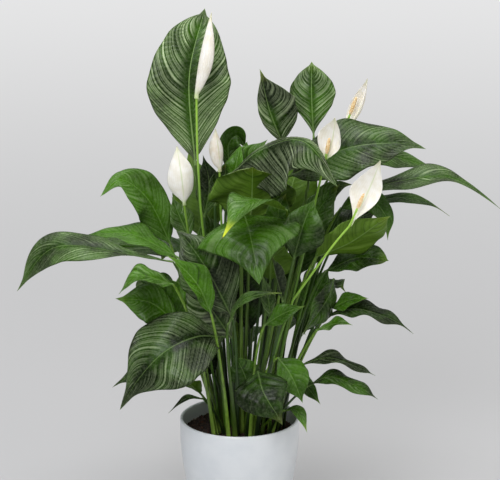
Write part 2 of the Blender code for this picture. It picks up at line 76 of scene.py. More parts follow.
# Each leaf: its name, the blade's width, how far its halves fold up (radians), the way its upper
# surface faces, and the points of its midrib from the neck to the tip.
LEAVES = [
    ("leaf_crown", 0.156, 0.10, (0.05, -1.0, 0.15),
     [(-0.085, 0.00, 0.735), (-0.095, -0.01, 0.905), (-0.065, 0.01, 1.035)]),
    ("leaf_high_left", 0.094, 0.25, (0.25, -0.8, 0.55),
     [(-0.138, 0.065, 0.560), (-0.180, 0.05, 0.655), (-0.232, 0.03, 0.700), (-0.272, 0.02, 0.672)]),
    ("leaf_long_left", 0.088, 0.22, (-0.10, -0.15, 1.0),
     [(-0.128, -0.06, 0.557), (-0.217, -0.085, 0.580), (-0.350, -0.08, 0.591), (-0.430, -0.06, 0.507)]),
    ("leaf_upper_left", 0.086, 0.20, (0.0, -0.35, 0.90),
     [(-0.119, -0.01, 0.552), (-0.212, -0.01, 0.600), (-0.318, 0.00, 0.595)]),
    ("leaf_rear_left", 0.075, 0.15, (0.0, -0.3, 0.95),
     [(-0.130, 0.09, 0.527), (-0.245, 0.12, 0.563), (-0.335, 0.14, 0.560)]),
    ("leaf_pointed_left", 0.070, 0.25, (-0.2, -0.6, 0.8),
     [(-0.125, -0.11, 0.525), (-0.185, -0.14, 0.550), (-0.225, -0.15, 0.520)]),
    ("leaf_round_left", 0.080, 0.15, (-0.1, -0.7, 0.7),
     [(-0.115, -0.07, 0.430), (-0.170, -0.085, 0.482), (-0.235, -0.105, 0.496)]),
    ("leaf_broad_low_left", 0.158, 0.10, (-0.15, -0.75, 0.65),
     [(-0.025, -0.09, 0.414), (-0.083, -0.14, 0.430), (-0.152, -0.17, 0.400), (-0.226, -0.17, 0.308)]),
    ("leaf_under_left", 0.070, 0.20, (-0.2, -0.6, 0.75),
     [(-0.100, 0.00, 0.360), (-0.180, -0.01, 0.330), (-0.255, 0.00, 0.285)]),
    ("leaf_dark_left", 0.092, 0.20, (0.3, -0.9, 0.3),
     [(-0.095, -0.03, 0.400), (-0.140, -0.04, 0.470), (-0.185, -0.04, 0.530)]),
    ("leaf_centre_left", 0.120, 0.20, (0.2, -0.95, 0.3),
     [(-0.012, -0.12, 0.460), (-0.060, -0.13, 0.560), (-0.118, -0.11, 0.640)]),
    ("leaf_striped", 0.096, 0.20, (0.2, -0.95, 0.3),
     [(-0.015, -0.065, 0.405), (-0.060, -0.073, 0.475), (-0.101, -0.060, 0.531)]),
    ("leaf_underside", 0.165, 0.25, (0.0, 0.6, 0.8),
     [(0.022, -0.01, 0.624), (0.025, -0.05, 0.690), (0.026, -0.10, 0.755)]),
    ("leaf_wave", 0.112, -0.40, (0.0, -0.35, 0.94),
     [(-0.015, -0.02, 0.722), (0.040, -0.05, 0.773), (0.118, -0.10, 0.800), (0.183, -0.13, 0.731)]),
    ("leaf_behind_wave", 0.065, 0.25, (0.2, -0.9, 0.4),
     [(0.005, 0.05, 0.655), (0.010, 0.05, 0.725), (0.055, 0.06, 0.775)]),
    ("leaf_upright_dark", 0.078, 0.45, (0.3, -0.9, 0.2),
     [(0.085, 0.04, 0.770), (0.058, 0.03, 0.840), (0.040, 0.03, 0.918)]),
    ("leaf_upright_bright", 0.090, 0.15, (-0.2, -0.95, 0.2),
     [(0.145, 0.02, 0.785), (0.140, 0.02, 0.865), (0.140, 0.03, 0.938)]),
    ("leaf_broad_right", 0.128, 0.15, (0.0, -0.75, 0.65),
     [(0.095, 0.00, 0.712), (0.212, -0.03, 0.775), (0.356, -0.04, 0.788)]),
    ("leaf_long_right", 0.068, 0.15, (0.0, -0.40, 0.90),
     [(0.215, 0.03, 0.664), (0.313, 0.00, 0.704), (0.407, -0.02, 0.714), (0.504, -0.03, 0.664)]),
    ("leaf_back_right", 0.070, 0.15, (0.0, -0.3, 0.95),
     [(0.180, 0.07, 0.700), (0.290, 0.09, 0.735), (0.415, 0.10, 0.700)]),
    ("leaf_low_right", 0.050, 0.15, (0.0, -0.3, 0.95),
     [(0.220, 0.09, 0.625), (0.325, 0.10, 0.650), (0.425, 0.11, 0.620)]),
    ("leaf_droop_right", 0.050, 0.25, (0.6, -0.8, 0.4),
     [(0.200, 0.04, 0.640), (0.255, 0.03, 0.660), (0.290, 0.03, 0.625), (0.295, 0.04, 0.580)]),
    ("leaf_pale_right", 0.125, 0.15, (0.1, 0.5, 0.85),
     [(0.150, -0.03, 0.560), (0.215, -0.07, 0.600), (0.284, -0.11, 0.662)]),
    ("leaf_rounded_right", 0.088, 0.15, (0.0, -0.4, 0.9),
     [(0.168, -0.012, 0.525), (0.230, -0.025, 0.556), (0.290, -0.04, 0.556)]),
    ("leaf_diagonal", 0.086, 0.25, (-0.5, -0.8, 0.2),
     [(0.125, -0.01, 0.570), (0.152, 0.00, 0.640), (0.196, 0.01, 0.700)]),
    ("leaf_cup", 0.084, 0.45, (0.2, -0.9, 0.3),
     [(0.104, -0.09, 0.570), (0.122, -0.10, 0.640), (0.142, -0.10, 0.690)]),
    ("leaf_dark_curl", 0.052, 0.45, (0.2, -0.9, 0.3),
     [(0.080, -0.05, 0.600), (0.075, -0.06, 0.655), (0.090, -0.05, 0.690)]),
    ("leaf_yellow_tip", 0.092, 0.20, (-0.1, -0.15, 1.0),
     [(0.090, -0.10, 0.668), (0.021, -0.180, 0.699), (-0.030, -0.222, 0.646)]),
    ("leaf_front_broad", 0.198, 0.10, (0.0, -0.85, 0.50),
     [(0.010, -0.07, 0.652), (0.021, -0.145, 0.632), (0.038, -0.200, 0.555)]),
    ("leaf_down_right", 0.068, 0.20, (0.7, -0.6, 0.2),
     [(0.185, -0.03, 0.515), (0.170, -0.06, 0.480), (0.122, -0.09, 0.420)]),
    ("leaf_wavy_right", 0.060, 0.15, (0.0, -0.35, 0.93),
     [(0.165, -0.03, 0.435), (0.220, -0.05, 0.460), (0.283, -0.07, 0.450), (0.337, -0.08, 0.425)]),
    ("leaf_twist_upper", 0.050, 0.15, (0.0, -0.4, 1.0),
     [(0.115, -0.07, 0.350), (0.178, -0.09, 0.372), (0.262, -0.11, 0.345)]),
    ("leaf_twist_lower", 0.056, 0.15, (0.0, -0.4, 1.0),
     [(0.130, -0.08, 0.310), (0.180, -0.11, 0.340), (0.265, -0.14, 0.312)]),
    ("leaf_front_bright", 0.064, 0.20, (0.2, -0.9, 0.4),
     [(0.075, -0.105, 0.378), (0.100, -0.12, 0.347), (0.122, -0.13, 0.296)]),
    ("leaf_front_heart", 0.105, 0.12, (0.0, -0.85, 0.5),
     [(0.036, -0.12, 0.355), (0.048, -0.165, 0.325), (0.082, -0.185, 0.275)]),
    ("leaf_rear_arch_left", 0.110, 0.12, (0.0, 0.4, 0.9),
     [(-0.085, 0.11, 0.500), (-0.130, 0.20, 0.540), (-0.170, 0.29, 0.480)]),
    ("leaf_rear_arch_middle", 0.120, 0.12, (0.0, 0.5, 0.9),
     [(0.020, 0.10, 0.570), (0.030, 0.20, 0.620), (0.040, 0.30, 0.570)]),
    ("leaf_rear_arch_right", 0.110, 0.12, (0.1, 0.4, 0.9),
     [(0.110, 0.10, 0.510), (0.170, 0.18, 0.550), (0.220, 0.27, 0.500)]),
    ("leaf_rear_low_left", 0.100, 0.12, (-0.1, 0.5, 0.8),
     [(-0.045, 0.085, 0.370), (-0.090, 0.17, 0.395), (-0.120, 0.25, 0.330)]),
    ("leaf_rear_low_right", 0.100, 0.12, (0.1, 0.5, 0.8),
     [(0.070, 0.08, 0.360), (0.110, 0.17, 0.385), (0.140, 0.24, 0.320)]),
]

# Each flower: its name, the points of its stem above the soil up to the spathe's foot, the spathe's
# tip, its half breadth measured round the curve, how far each half wraps (radians), the way its inside
# faces, how far the stem goes on inside the spathe, and the length of the spadix that ends it.
FLOWERS = [
    ("tall_bud", [(-0.074, -0.04, 0.660), (-0.079, -0.05, 0.770), (-0.080, -0.05, 0.872)],
     (-0.051, -0.05, 1.033), 0.036, 2.50, (1.0, 0.05, 0.0), 0.060, 0.060),
    ("left_flower", [(-0.100, 0.00, 0.600), (-0.106, -0.03, 0.662)],
     (-0.119, -0.03, 0.777), 0.030, 0.90, (-0.2, 1.0, 0.1), 0.012, 0.040),
    ("small_bud", [(-0.037, 0.01, 0.660), (-0.038, 0.00, 0.722)],
     (-0.046, 0.00, 0.806), 0.021, 1.40, (-0.5, 0.9, 0.1), 0.012, 0.036),
    ("high_flower", [(0.195, 0.03, 0.725), (0.204, 0.03, 0.797)],
     (0.248, 0.03, 0.899), 0.026, 1.20, (-0.9, -0.45, 0.3), 0.034, 0.036),
    ("middle_flower", [(0.148, -0.045, 0.680), (0.163, -0.08, 0.762)],
     (0.180, -0.08, 0.840), 0.030, 0.90, (-0.5, -0.8, 0.2), 0.010, 0.030),
    ("right_flower", [(0.104, -0.11, 0.496), (0.173, -0.12, 0.598), (0.208, -0.12, 0.642)],
     (0.264, -0.11, 0.764), 0.034, 0.85, (-0.3, -0.9, 0.3), 0.036, 0.030),
]

# ---------------------------------------------------------------- leaves too small for the frame
SMALL_LEAVES = [
    ("leaf_bright_strip", 0.056, 0.40, (0.5, -0.8, 0.3),
     [(-0.052, -0.155, 0.480), (-0.078, -0.175, 0.545), (-0.132, -0.18, 0.605)]),
    ("leaf_behind_bud", 0.050, 0.30, (0.2, -0.9, 0.3),
     [(-0.100, 0.06, 0.575), (-0.123, 0.07, 0.625), (-0.135, 0.08, 0.655)]),
    ("leaf_behind_crown", 0.055, 0.30, (-0.3, -0.9, 0.3),
     [(-0.070, 0.05, 0.620), (-0.060, 0.06, 0.685), (-0.072, 0.07, 0.742)]),
    ("leaf_curled_top", 0.050, 0.50, (0.2, -0.8, 0.6),
     [(-0.015, 0.10, 0.686), (-0.023, 0.11, 0.750), (-0.005, 0.12, 0.772), (0.015, 0.13, 0.742)]),
    ("leaf_small_upright", 0.036, 0.30, (-0.3, -0.9, 0.2),
     [(-0.016, 0.03, 0.690), (-0.005, 0.03, 0.735), (0.003, 0.04, 0.770)]),
    ("leaf_bud_foot", 0.040, 0.40, (0.2, -0.9, 0.3),
     [(-0.048, 0.02, 0.650), (-0.042, 0.02, 0.700), (-0.026, 0.02, 0.735)]),
    ("leaf_brown_back", 0.090, 0.20, (0.0, 0.6, 0.8),
     [(0.060, -0.06, 0.520), (0.062, -0.10, 0.570), (0.086, -0.14, 0.610)]),
    ("leaf_bright_edge", 0.042, 0.30, (-0.4, -0.8, 0.4),
     [(0.142, 0.02, 0.616), (0.178, 0.01, 0.680), (0.221, 0.02, 0.698)]),
    ("leaf_small_right", 0.046, 0.20, (0.0, -0.6, 0.8),
     [(0.180, -0.03, 0.455), (0.215, -0.05, 0.478), (0.250, -0.06, 0.485)]),
    ("leaf_short_right", 0.036, 0.20, (0.0, -0.5, 0.9),
     [(0.150, -0.08, 0.425), (0.185, -0.10, 0.445), (0.216, -0.12, 0.450)]),
    ("leaf_small_tip", 0.034, 0.20, (0.3, -0.8, 0.4),
     [(0.105, -0.03, 0.335), (0.130, -0.05, 0.305), (0.159, -0.07, 0.271)]),
    ("leaf_above_heart", 0.062, 0.20, (0.0, -0.9, 0.3),
     [(0.020, -0.06, 0.300), (0.006, -0.08, 0.345), (-0.010, -0.09, 0.380)]),
    ("leaf_over_rim", 0.026, 0.25, (0.3, -0.5, 0.8),
     [(0.088, -0.07, 0.258), (0.112, -0.10, 0.268), (0.131, -0.13, 0.239)]),
    ("leaf_thin_at_rim", 0.016, 0.25, (-0.2, -0.5, 0.8),
     [(-0.072, -0.05, 0.275), (-0.104, -0.07, 0.283), (-0.138, -0.09, 0.260)]),
    ("leaf_slim_centre", 0.042, 0.30, (-0.3, -0.8, 0.5),
     [(0.048, -0.13, 0.450), (0.085, -0.15, 0.480), (0.123, -0.16, 0.497)]),
    ("leaf_pale_fold", 0.034, 0.60, (0.5, -0.8, 0.2),
     [(0.083, -0.14, 0.500), (0.070, -0.16, 0.555), (0.060, -0.17, 0.600)]),
    ("leaf_thin_crossing", 0.020, 0.30, (0.0, -0.6, 0.8),
     [(-0.021, -0.14, 0.455), (0.010, -0.18, 0.515), (0.079, -0.20, 0.537)]),
    ("leaf_dark_sliver", 0.028, 0.30, (0.3, -0.9, 0.2),
     [(0.062, -0.08, 0.446), (0.055, -0.10, 0.500), (0.044, -0.10, 0.543)]),
    ("leaf_low_pale", 0.042, 0.20, (0.0, 0.5, 0.8),
     [(-0.078, 0.02, 0.260), (-0.100, 0.00, 0.290), (-0.123, -0.02, 0.305)]),
    ("leaf_inner_low_left", 0.100, 0.20, (0.3, -0.9, 0.3),
     [(-0.045, 0.04, 0.385), (-0.085, 0.05, 0.470), (-0.110, 0.05, 0.550)]),
    ("leaf_inner_left", 0.100, 0.20, (0.2, -0.9, 0.3),
     [(-0.024, 0.07, 0.450), (-0.050, 0.08, 0.545), (-0.072, 0.08, 0.630)]),
    ("leaf_inner_low", 0.115, 0.20, (0.1, -0.9, 0.3),
     [(0.020, 0.05, 0.380), (0.008, 0.05, 0.480), (-0.015, 0.04, 0.570)]),
    ("leaf_inner_low_right", 0.100, 0.25, (-0.3, -0.9, 0.3),
     [(0.070, 0.06, 0.385), (0.085, 0.07, 0.475), (0.105, 0.07, 0.555)]),
    ("leaf_inner_middle", 0.100, 0.25, (-0.1, -0.9, 0.3),
     [(0.045, 0.03, 0.500), (0.052, 0.02, 0.590), (0.066, 0.01, 0.672)]),
    ("leaf_inner_right", 0.105, 0.25, (-0.3, -0.9, 0.3),
     [(0.120, 0.05, 0.500), (0.145, 0.06, 0.590), (0.178, 0.06, 0.665)]),
    ("leaf_inner_low_edge", 0.090, 0.25, (-0.4, -0.9, 0.3),
     [(0.125, 0.03, 0.385), (0.150, 0.03, 0.460), (0.178, 0.03, 0.525)]),
    ("leaf_inner_far_right", 0.085, 0.20, (-0.1, -0.8, 0.6),
     [(0.180, 0.06, 0.545), (0.225, 0.06, 0.605), (0.280, 0.05, 0.640)]),
    ("leaf_inner_foot_left", 0.075, 0.20, (0.3, -0.9, 0.4),
     [(-0.050, 0.02, 0.300), (-0.085, 0.01, 0.360), (-0.110, -0.01, 0.400)]),
    ("leaf_inner_high", 0.100, 0.25, (0.1, -0.9, 0.3),
     [(-0.005, 0.08, 0.590), (0.002, 0.08, 0.680), (0.015, 0.08, 0.770)]),
    ("leaf_rear_low_middle", 0.085, 0.12, (0.0, 0.5, 0.8),
     [(0.005, 0.08, 0.330), (0.005, 0.16, 0.360), (-0.010, 0.23, 0.300)]),
    ("leaf_rear_high", 0.090, 0.15, (0.0, 0.5, 0.8),
     [(0.000, 0.09, 0.650), (0.005, 0.15, 0.700), (0.010, 0.23, 0.690)]),
    ("leaf_rear_upright_left", 0.105, 0.20, (-0.2, 0.85, 0.4),
     [(-0.060, 0.08, 0.560), (-0.085, 0.13, 0.660), (-0.105, 0.19, 0.730)]),
    ("leaf_rear_upright_right", 0.105, 0.20, (0.2, 0.85, 0.4),
     [(0.085, 0.08, 0.590), (0.110, 0.13, 0.680), (0.135, 0.18, 0.745)]),
    ("leaf_rear_side_left", 0.090, 0.15, (-0.4, 0.5, 0.75),
     [(-0.110, 0.10, 0.430), (-0.180, 0.17, 0.460), (-0.225, 0.23, 0.415)]),
    ("leaf_rear_side_right", 0.090, 0.15, (0.4, 0.5, 0.75),
     [(0.120, 0.10, 0.430), (0.180, 0.17, 0.460), (0.225, 0.22, 0.425)]),
    ("leaf_rear_middle", 0.110, 0.20, (0.0, 0.8, 0.55),
     [(0.030, 0.09, 0.440), (0.045, 0.17, 0.500), (0.050, 0.24, 0.520)]),
]

TAU = 2 * math.pi
UP = np.array((0.0, 0.0, 1.0))
SEED = 7
MM = 1000  # millimetres in a metre: over the size of a spot in mm, it gives a noise its scale

# plain names for the nodes that recur, with their settings
SUMS = {
    "plus": "ADD", "minus": "SUBTRACT", "times": "MULTIPLY", "over": "DIVIDE", "power": "POWER",
    "most": "MAXIMUM", "size": "ABSOLUTE", "beat": "PINGPONG", "sine": "SINE", "cosine": "COSINE",
}
PLAIN = {word: ("ShaderNodeMath", {"operation": operation}) for word, operation in SUMS.items()}
PLAIN.update({
    "ramp": ("ShaderNodeMapRange", {"interpolation_type": "SMOOTHSTEP"}),
    "mix": ("ShaderNodeMix", {"data_type": "RGBA"}),
    "noise": ("ShaderNodeTexNoise", {}),
    "noise along": ("ShaderNodeTexNoise", {"noise_dimensions": "1D"}),
    "split": ("ShaderNodeSeparateXYZ", {}),
    "join": ("ShaderNodeCombineXYZ", {}),
    "bump": ("ShaderNodeBump", {}),
})


# ---------------------------------------------------------------- small helpers
def unit(v):
    """Vectors of length 1, along the last axis."""
    return v / np.maximum(np.linalg.norm(v, axis=-1, keepdims=True), 1e-12)


def smooth(low, high, x):
    """0 below low, 1 above high, and an even S between them."""
    t = np.clip((x - low) / (high - low), 0.0, 1.0)
    return t * t * (3 - 2 * t)


def spline(points, shares):
    """Points on the smooth curve through the given ones, at shares of its length in chords."""
    points = np.asarray(points, float)
    padded = np.vstack([2 * points[0] - points[1], points, 2 * points[-1] - points[-2]])
    chords = np.linalg.norm(np.diff(points, axis=0), axis=1)
    ends = np.concatenate([[0.0], np.cumsum(chords)])
    distance = np.clip(shares, 0, 1) * ends[-1]
    index = np.clip(np.searchsorted(ends, distance, side="right") - 1, 0, len(chords) - 1)
    t = ((distance - ends[index]) / chords[index])[:, None]
    before, start, end, after = (padded[index + k] for k in range(4))
    return (
        start * (2 * t**3 - 3 * t**2 + 1)
        + (end - before) / 2 * (t**3 - 2 * t**2 + t)
        + end * (3 * t**2 - 2 * t**3)
        + (after - start) / 2 * (t**3 - t**2)
    )


def directions(path, face):
    """Tangent, sideways and upward directions at each point of a path whose surface faces face."""
    tangent = unit(np.gradient(path, axis=0))
    across = unit(np.cross(tangent, face))
    return tangent, across, np.cross(across, tangent)


def linear(code):
    """An sRGB hex colour as linear RGBA."""
    parts = [int(code[i : i + 2], 16) / 255 for i in (1, 3, 5)]
    return [c / 12.92 if c <= 0.04045 else ((c + 0.055) / 1.055) ** 2.4 for c in parts] + [1.0]


def feed(node, inputs):
    """Gives a node's inputs, by name or number, their values or links from other nodes' live outputs."""
    for key, value in inputs.items():
        socket = node.inputs[key]
        if isinstance(value, bpy.types.Node):
            value = next(output for output in value.outputs if output.enabled)
        if isinstance(value, bpy.types.NodeSocket):
            node.id_data.links.new(value, socket)
        else:
            socket.default_value = value


def add(tree, kind, *given, inputs=None, **settings):
    """Adds a node, by its name or one from PLAIN, sets it up and feeds its live inputs in order."""
    kind, usual = PLAIN.get(kind, (kind, {}))
    node = tree.nodes.new(kind)
    for key, value in {**usual, **settings}.items():
        setattr(node, key, value)
    live = [number for number, socket in enumerate(node.inputs) if socket.enabled]
    feed(node, {**dict(zip(live, given)), **(inputs or {})})
    return node


def mesh_object(name, verts, faces, materials, slots=None):
    """A smooth mesh with its place in its points. Faces that were wound inwards are turned round."""
    verts = np.asarray(verts, float)
    corners = np.array([face[:3] for face in faces])
    spans = verts[corners]
    if np.einsum("ij,ij->", spans[:, 0], np.cross(spans[:, 1], spans[:, 2])) < 0:
        faces = [tuple(face)[::-1] for face in faces]
    mesh = bpy.data.meshes.new(name)
    mesh.from_pydata(verts.tolist(), [], [[int(i) for i in face] for face in faces])
    for material in materials:
        mesh.materials.append(material)
    if slots is not None:
        mesh.polygons.foreach_set("material_index", np.asarray(slots, np.int32))
    mesh.shade_smooth()
    mesh.update()
    obj = bpy.data.objects.new(name, mesh)
    bpy.context.scene.collection.objects.link(obj)
    return obj


def point_values(obj, name, values):
    """Stores a number or a vector for each point, which the materials read."""
    values = np.asarray(values, np.float32)
    kind, field = ("FLOAT", "value") if values.ndim == 1 else ("FLOAT_VECTOR", "vector")
    attribute = obj.data.attributes.new(name, kind, "POINT")
    attribute.data.foreach_set(field, values.ravel())


def ring_faces(rows, count, closed=True):
    """Quads between neighbouring rings of count points, row after row."""
    last = count if closed else count - 1
    return [
        (row * count + i, row * count + (i + 1) % count, (row + 1) * count + (i + 1) % count,
         (row + 1) * count + i)
        for row in range(rows - 1)
        for i in range(last)
    ]


def place(piece, slot, *nodes):
    """Rides a finished piece on the one body and hides the CAD nodes it stands for; slot is not used."""
    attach(piece, "root")
    if nodes:
        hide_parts(*nodes)
    return piece


# ---------------------------------------------------------------- materials: shared steps
def new_material(name):
    """An empty Principled material with its tree, its shader and the piece's own coordinates."""
    material = bpy.data.materials.new(name)
    material.use_nodes = True
    tree = material.node_tree
    tree.nodes.clear()
    shader = add(tree, "ShaderNodeBsdfPrincipled")
    add(tree, "ShaderNodeOutputMaterial", inputs={"Surface": shader})
    return material, tree, shader, add(tree, "ShaderNodeTexCoord").outputs["Object"]


def streaks(tree, value, scale, detail, low, high):
    """Uneven streaks: noise that only changes with one value, cut to 0 below low and 1 above high."""
    return add(tree, "ramp", add(tree, "noise along", value, scale, detail), low, high)


def drawn_out(tree, point, squeeze, size_mm):
    """Noise whose spots are size_mm across and are drawn out upwards into streaks."""
    stretched = add(tree, "ShaderNodeMapping", inputs={"Vector": point, "Scale": (1.0, 1.0, squeeze)})
    return add(tree, "noise", stretched, MM / size_mm, 2.0)


# ---------------------------------------------------------------- materials of the plant
def blade_values(tree, *names):
    """What each point of a blade, a stalk or a petal holds, in the order asked for."""
    held = {}
    for attribute, parts in (("blade", ("along", "across", "half")), ("look", ("tone", "dry", "band"))):
        vector = add(tree, "ShaderNodeAttribute", attribute_name=attribute).outputs["Vector"]
        held.update(zip(parts, add(tree, "split", vector).outputs))
    held["vein"] = add(tree, "ShaderNodeAttribute", attribute_name="vein").outputs["Fac"]
    return [held[name] for name in names]


def leaf_material(name, deep, fresh, pale, rib, roughness, painted_sheen_share, vein_share):
    """Living leaf skin with its veins.

    deep and fresh are the blade's darkest and lightest greens, pale is the colour of the painted
    highlight streaks of sheen on the pillows between two veins and of a faint mottle, and rib is the
    colour of the thin line along each vein, painted shade in the vein's groove on the upper skin.
    """
    material, tree, shader, point = new_material(name)
    along, across, half = blade_values(tree, "along", "across", "half")
    tone, dry, band, vein = blade_values(tree, "tone", "dry", "band", "vein")
    off_rib = add(tree, "size", across)
    mm = add(tree, "times", off_rib, half)
    cloud = add(tree, "noise", point, MM / 55, 3.0)
    mottle = add(tree, "noise", point, MM / 5, 3.0)

    # each vein is a thin line, dark on the upper skin as painted shade in its groove, and the flesh between
    # two of them is a low pillow
    beat = add(tree, "beat", vein, 0.5)
    line = add(tree, "ramp", beat, 0.0, 0.07, 1.0, 0.0)
    fine_beat = add(tree, "beat", add(tree, "times", vein, 5.0), 0.5)
    broad = streaks(tree, vein, 1.3, 1.0, 0.46, 0.66)
    thin = streaks(tree, vein, 4.0, 2.0, 0.50, 0.63)
    # painted highlight: pale streaks along the ridge of each pillow stand for the lights' sheen on it
    ridge = add(tree, "ramp", beat, 0.20, 0.46)
    ridge = add(tree, "times", ridge, add(tree, "plus", add(tree, "times", broad, 0.65), 0.35))
    painted_sheen_stripes = add(tree, "most", ridge, add(tree, "times", thin, 0.6))
    away = add(tree, "ramp", off_rib, 0.05, 0.35)

    freshness = add(tree, "plus", tone, add(tree, "ramp", cloud, 0.3, 0.7, -0.3, 0.3))
    colour = add(tree, "mix", freshness, linear(deep), linear(fresh))
    share = add(tree, "times", painted_sheen_stripes, add(tree, "times", away, band))
    share = add(tree, "times", share, add(tree, "ramp", cloud, 0.35, 0.62, 0.45, 1.0))
    # painted highlight: the pale sheen colour laid over the pillow ridges
    colour = add(tree, "mix", add(tree, "times", share, painted_sheen_share), colour, linear(pale))
    # painted shade: the thin dark line at each vein stands for the shade in its groove
    colour = add(tree, "mix", add(tree, "times", line, vein_share), colour, linear(rib))
    colour = add(tree, "mix", add(tree, "ramp", mottle, 0.45, 0.75, 0.0, 0.05), colour, linear(pale))

    # the midrib is broad and pale at the neck and fades towards the tip
    rib_edge = add(tree, "minus", 2.6, add(tree, "times", along, 2.2))
    on_rib = add(tree, "ramp", add(tree, "over", mm, rib_edge), 0.35, 1.0, 1.0, 0.0)
    rib_share = add(tree, "ramp", band, 0.5, 1.0, 0.22, 0.55)
    colour = add(tree, "mix", add(tree, "times", on_rib, rib_share), colour, linear("#8fae68"))

    # a thin pale margin, and a drawn-out tip that yellows or dries
    inward = add(tree, "times", add(tree, "minus", 1.0, off_rib), half)
    colour = add(tree, "mix", add(tree, "ramp", inward, 0.1, 0.9, 0.35, 0.0), colour, linear("#84a05a"))
    tip = add(tree, "times", add(tree, "ramp", along, 0.80, 0.97), dry)
    colour = add(tree, "mix", tip, colour, linear("#c2cf35"))
    scorch = add(tree, "times", add(tree, "ramp", along, 0.972, 0.992), add(tree, "ramp", dry, 0.2, 0.4))
    colour = add(tree, "mix", scorch, colour, linear("#5b3d22"))

    dull = add(tree, "ramp", mottle, 0.3, 0.7, roughness - 0.05, roughness + 0.07)
    grit = add(tree, "times", add(tree, "noise", point, MM / 1.5, 3.0), 0.5)
    height = add(tree, "plus", add(tree, "times", fine_beat, 0.9), grit)
    feed(shader, {
        "Base Color": colour,
        "Roughness": add(tree, "plus", dull, add(tree, "times", line, 0.10)),
        "Normal": add(tree, "bump", inputs={"Strength": 0.35, "Distance": 0.0006, "Height": height}),
        "IOR": 1.42,
        "Specular IOR Level": 0.22,
    })
    return material


def stalk_material():
    """Leaf stalk: smooth living skin, deep green where it is rooted and yellow-green near the blade."""
    material, tree, shader, point = new_material("stalk_skin_smooth")
    along, tone = blade_values(tree, "along", "tone")
    streak = drawn_out(tree, point, 0.06, 3.0)
    colour = add(tree, "mix", add(tree, "ramp", along, -1.0, -0.1), linear("#122207"), linear("#2f4f10"))
    colour = add(tree, "mix", add(tree, "ramp", tone, 0.15, 0.85, 0.0, 0.75), colour, linear("#7ea632"))
    colour = add(tree, "mix", add(tree, "ramp", streak, 0.40, 0.72, 0.0, 0.55), colour, linear("#18300c"))
    sheath = add(tree, "times", add(tree, "ramp", along, -0.80, -1.0), add(tree, "ramp", tone, 0.2, 0.8))
    feed(shader, {
        "Base Color": add(tree, "mix", sheath, colour, linear("#8fb24a")),
        "Roughness": add(tree, "ramp", streak, 0.3, 0.7, 0.34, 0.48),
        "Normal": add(tree, "bump", inputs={"Strength": 0.35, "Distance": 0.0004, "Height": streak}),
    })
    return material


def flower_stem_material():
    """Flower stem: round, waxy and bright yellow-green, a little paler at its top."""
    material, tree, shader, point = new_material("flower_stem_skin_waxy")
    [along] = blade_values(tree, "along")
    streak = drawn_out(tree, point, 0.08, 2.5)
    colour = add(tree, "mix", add(tree, "ramp", along, 0.1, 1.0), linear("#4b7420"), linear("#93bd42"))
    fibre = add(tree, "ramp", streak, 0.4, 0.7, 0.0, 0.45)
    feed(shader, {
        "Base Color": add(tree, "mix", fibre, colour, linear("#6f9c33")),
        "Roughness": add(tree, "ramp", streak, 0.3, 0.7, 0.34, 0.46),
    })
    return material


def spathe_material():
    """Spathe: thin matt petal tissue, cream-white, with lengthwise veins and a green-tinged back rib."""
    material, tree, shader, point = new_material("spathe_tissue_thin")
    along, across, dry, vein = blade_values(tree, "along", "across", "dry", "vein")
    off_rib = add(tree, "size", across)
    beat = add(tree, "beat", vein, 0.5)
    line = add(tree, "ramp", beat, 0.0, 0.18, 1.0, 0.0)
    cloud = add(tree, "noise", point, MM / 14, 3.0)
    colour = add(tree, "mix", add(tree, "ramp", cloud, 0.3, 0.7), linear("#f0eee6"), linear("#e3dfd0"))
    colour = add(tree, "mix", add(tree, "times", line, 0.30), colour, linear("#d6cdb4"))
    colour = add(tree, "mix", add(tree, "ramp", off_rib, 0.0, 0.10, 0.45, 0.0), colour, linear("#a9bf72"))
    colour = add(tree, "mix", add(tree, "ramp", along, 0.16, 0.0, 0.0, 0.75), colour, linear("#a7c767"))
    thread = add(tree, "times", add(tree, "ramp", along, 0.80, 0.99), 0.6)
    colour = add(tree, "mix", thread, colour, linear("#b9bd8a"))
    age = add(tree, "times", dry, add(tree, "ramp", cloud, 0.35, 0.65, 0.3, 1.0))
    height = add(tree, "plus", line, add(tree, "times", add(tree, "noise", point, MM / 1.2, 3.0), 0.4))
    feed(shader, {
        "Base Color": add(tree, "mix", age, colour, linear("#d9bfa0")),
        "Roughness": 0.55,
        "Subsurface Weight": 0.25,
        "Subsurface Radius": (0.004, 0.004, 0.003),
        "Subsurface Scale": 1.0,
        "Normal": add(tree, "bump", inputs={"Strength": 0.25, "Distance": 0.0003, "Height": height}),
    })
    return material


def spadix_material():
    """Spadix: packed florets, pale yellow with warmer tips, dusty with pollen."""
    material, tree, shader, point = new_material("spadix_florets_powdery")
    spot = add(tree, "ramp", add(tree, "noise", point, MM / 2.2, 3.0), 0.35, 0.65)
    ripe = add(tree, "ramp", add(tree, "noise", point, MM / 9, 3.0), 0.45, 0.7, 0.0, 0.5)
    colour = add(tree, "mix", spot, linear("#f0e3bd"), linear("#dfb67a"))
    feed(shader, {"Base Color": add(tree, "mix", ripe, colour, linear("#c9a55c")), "Roughness": 0.75})
    return material


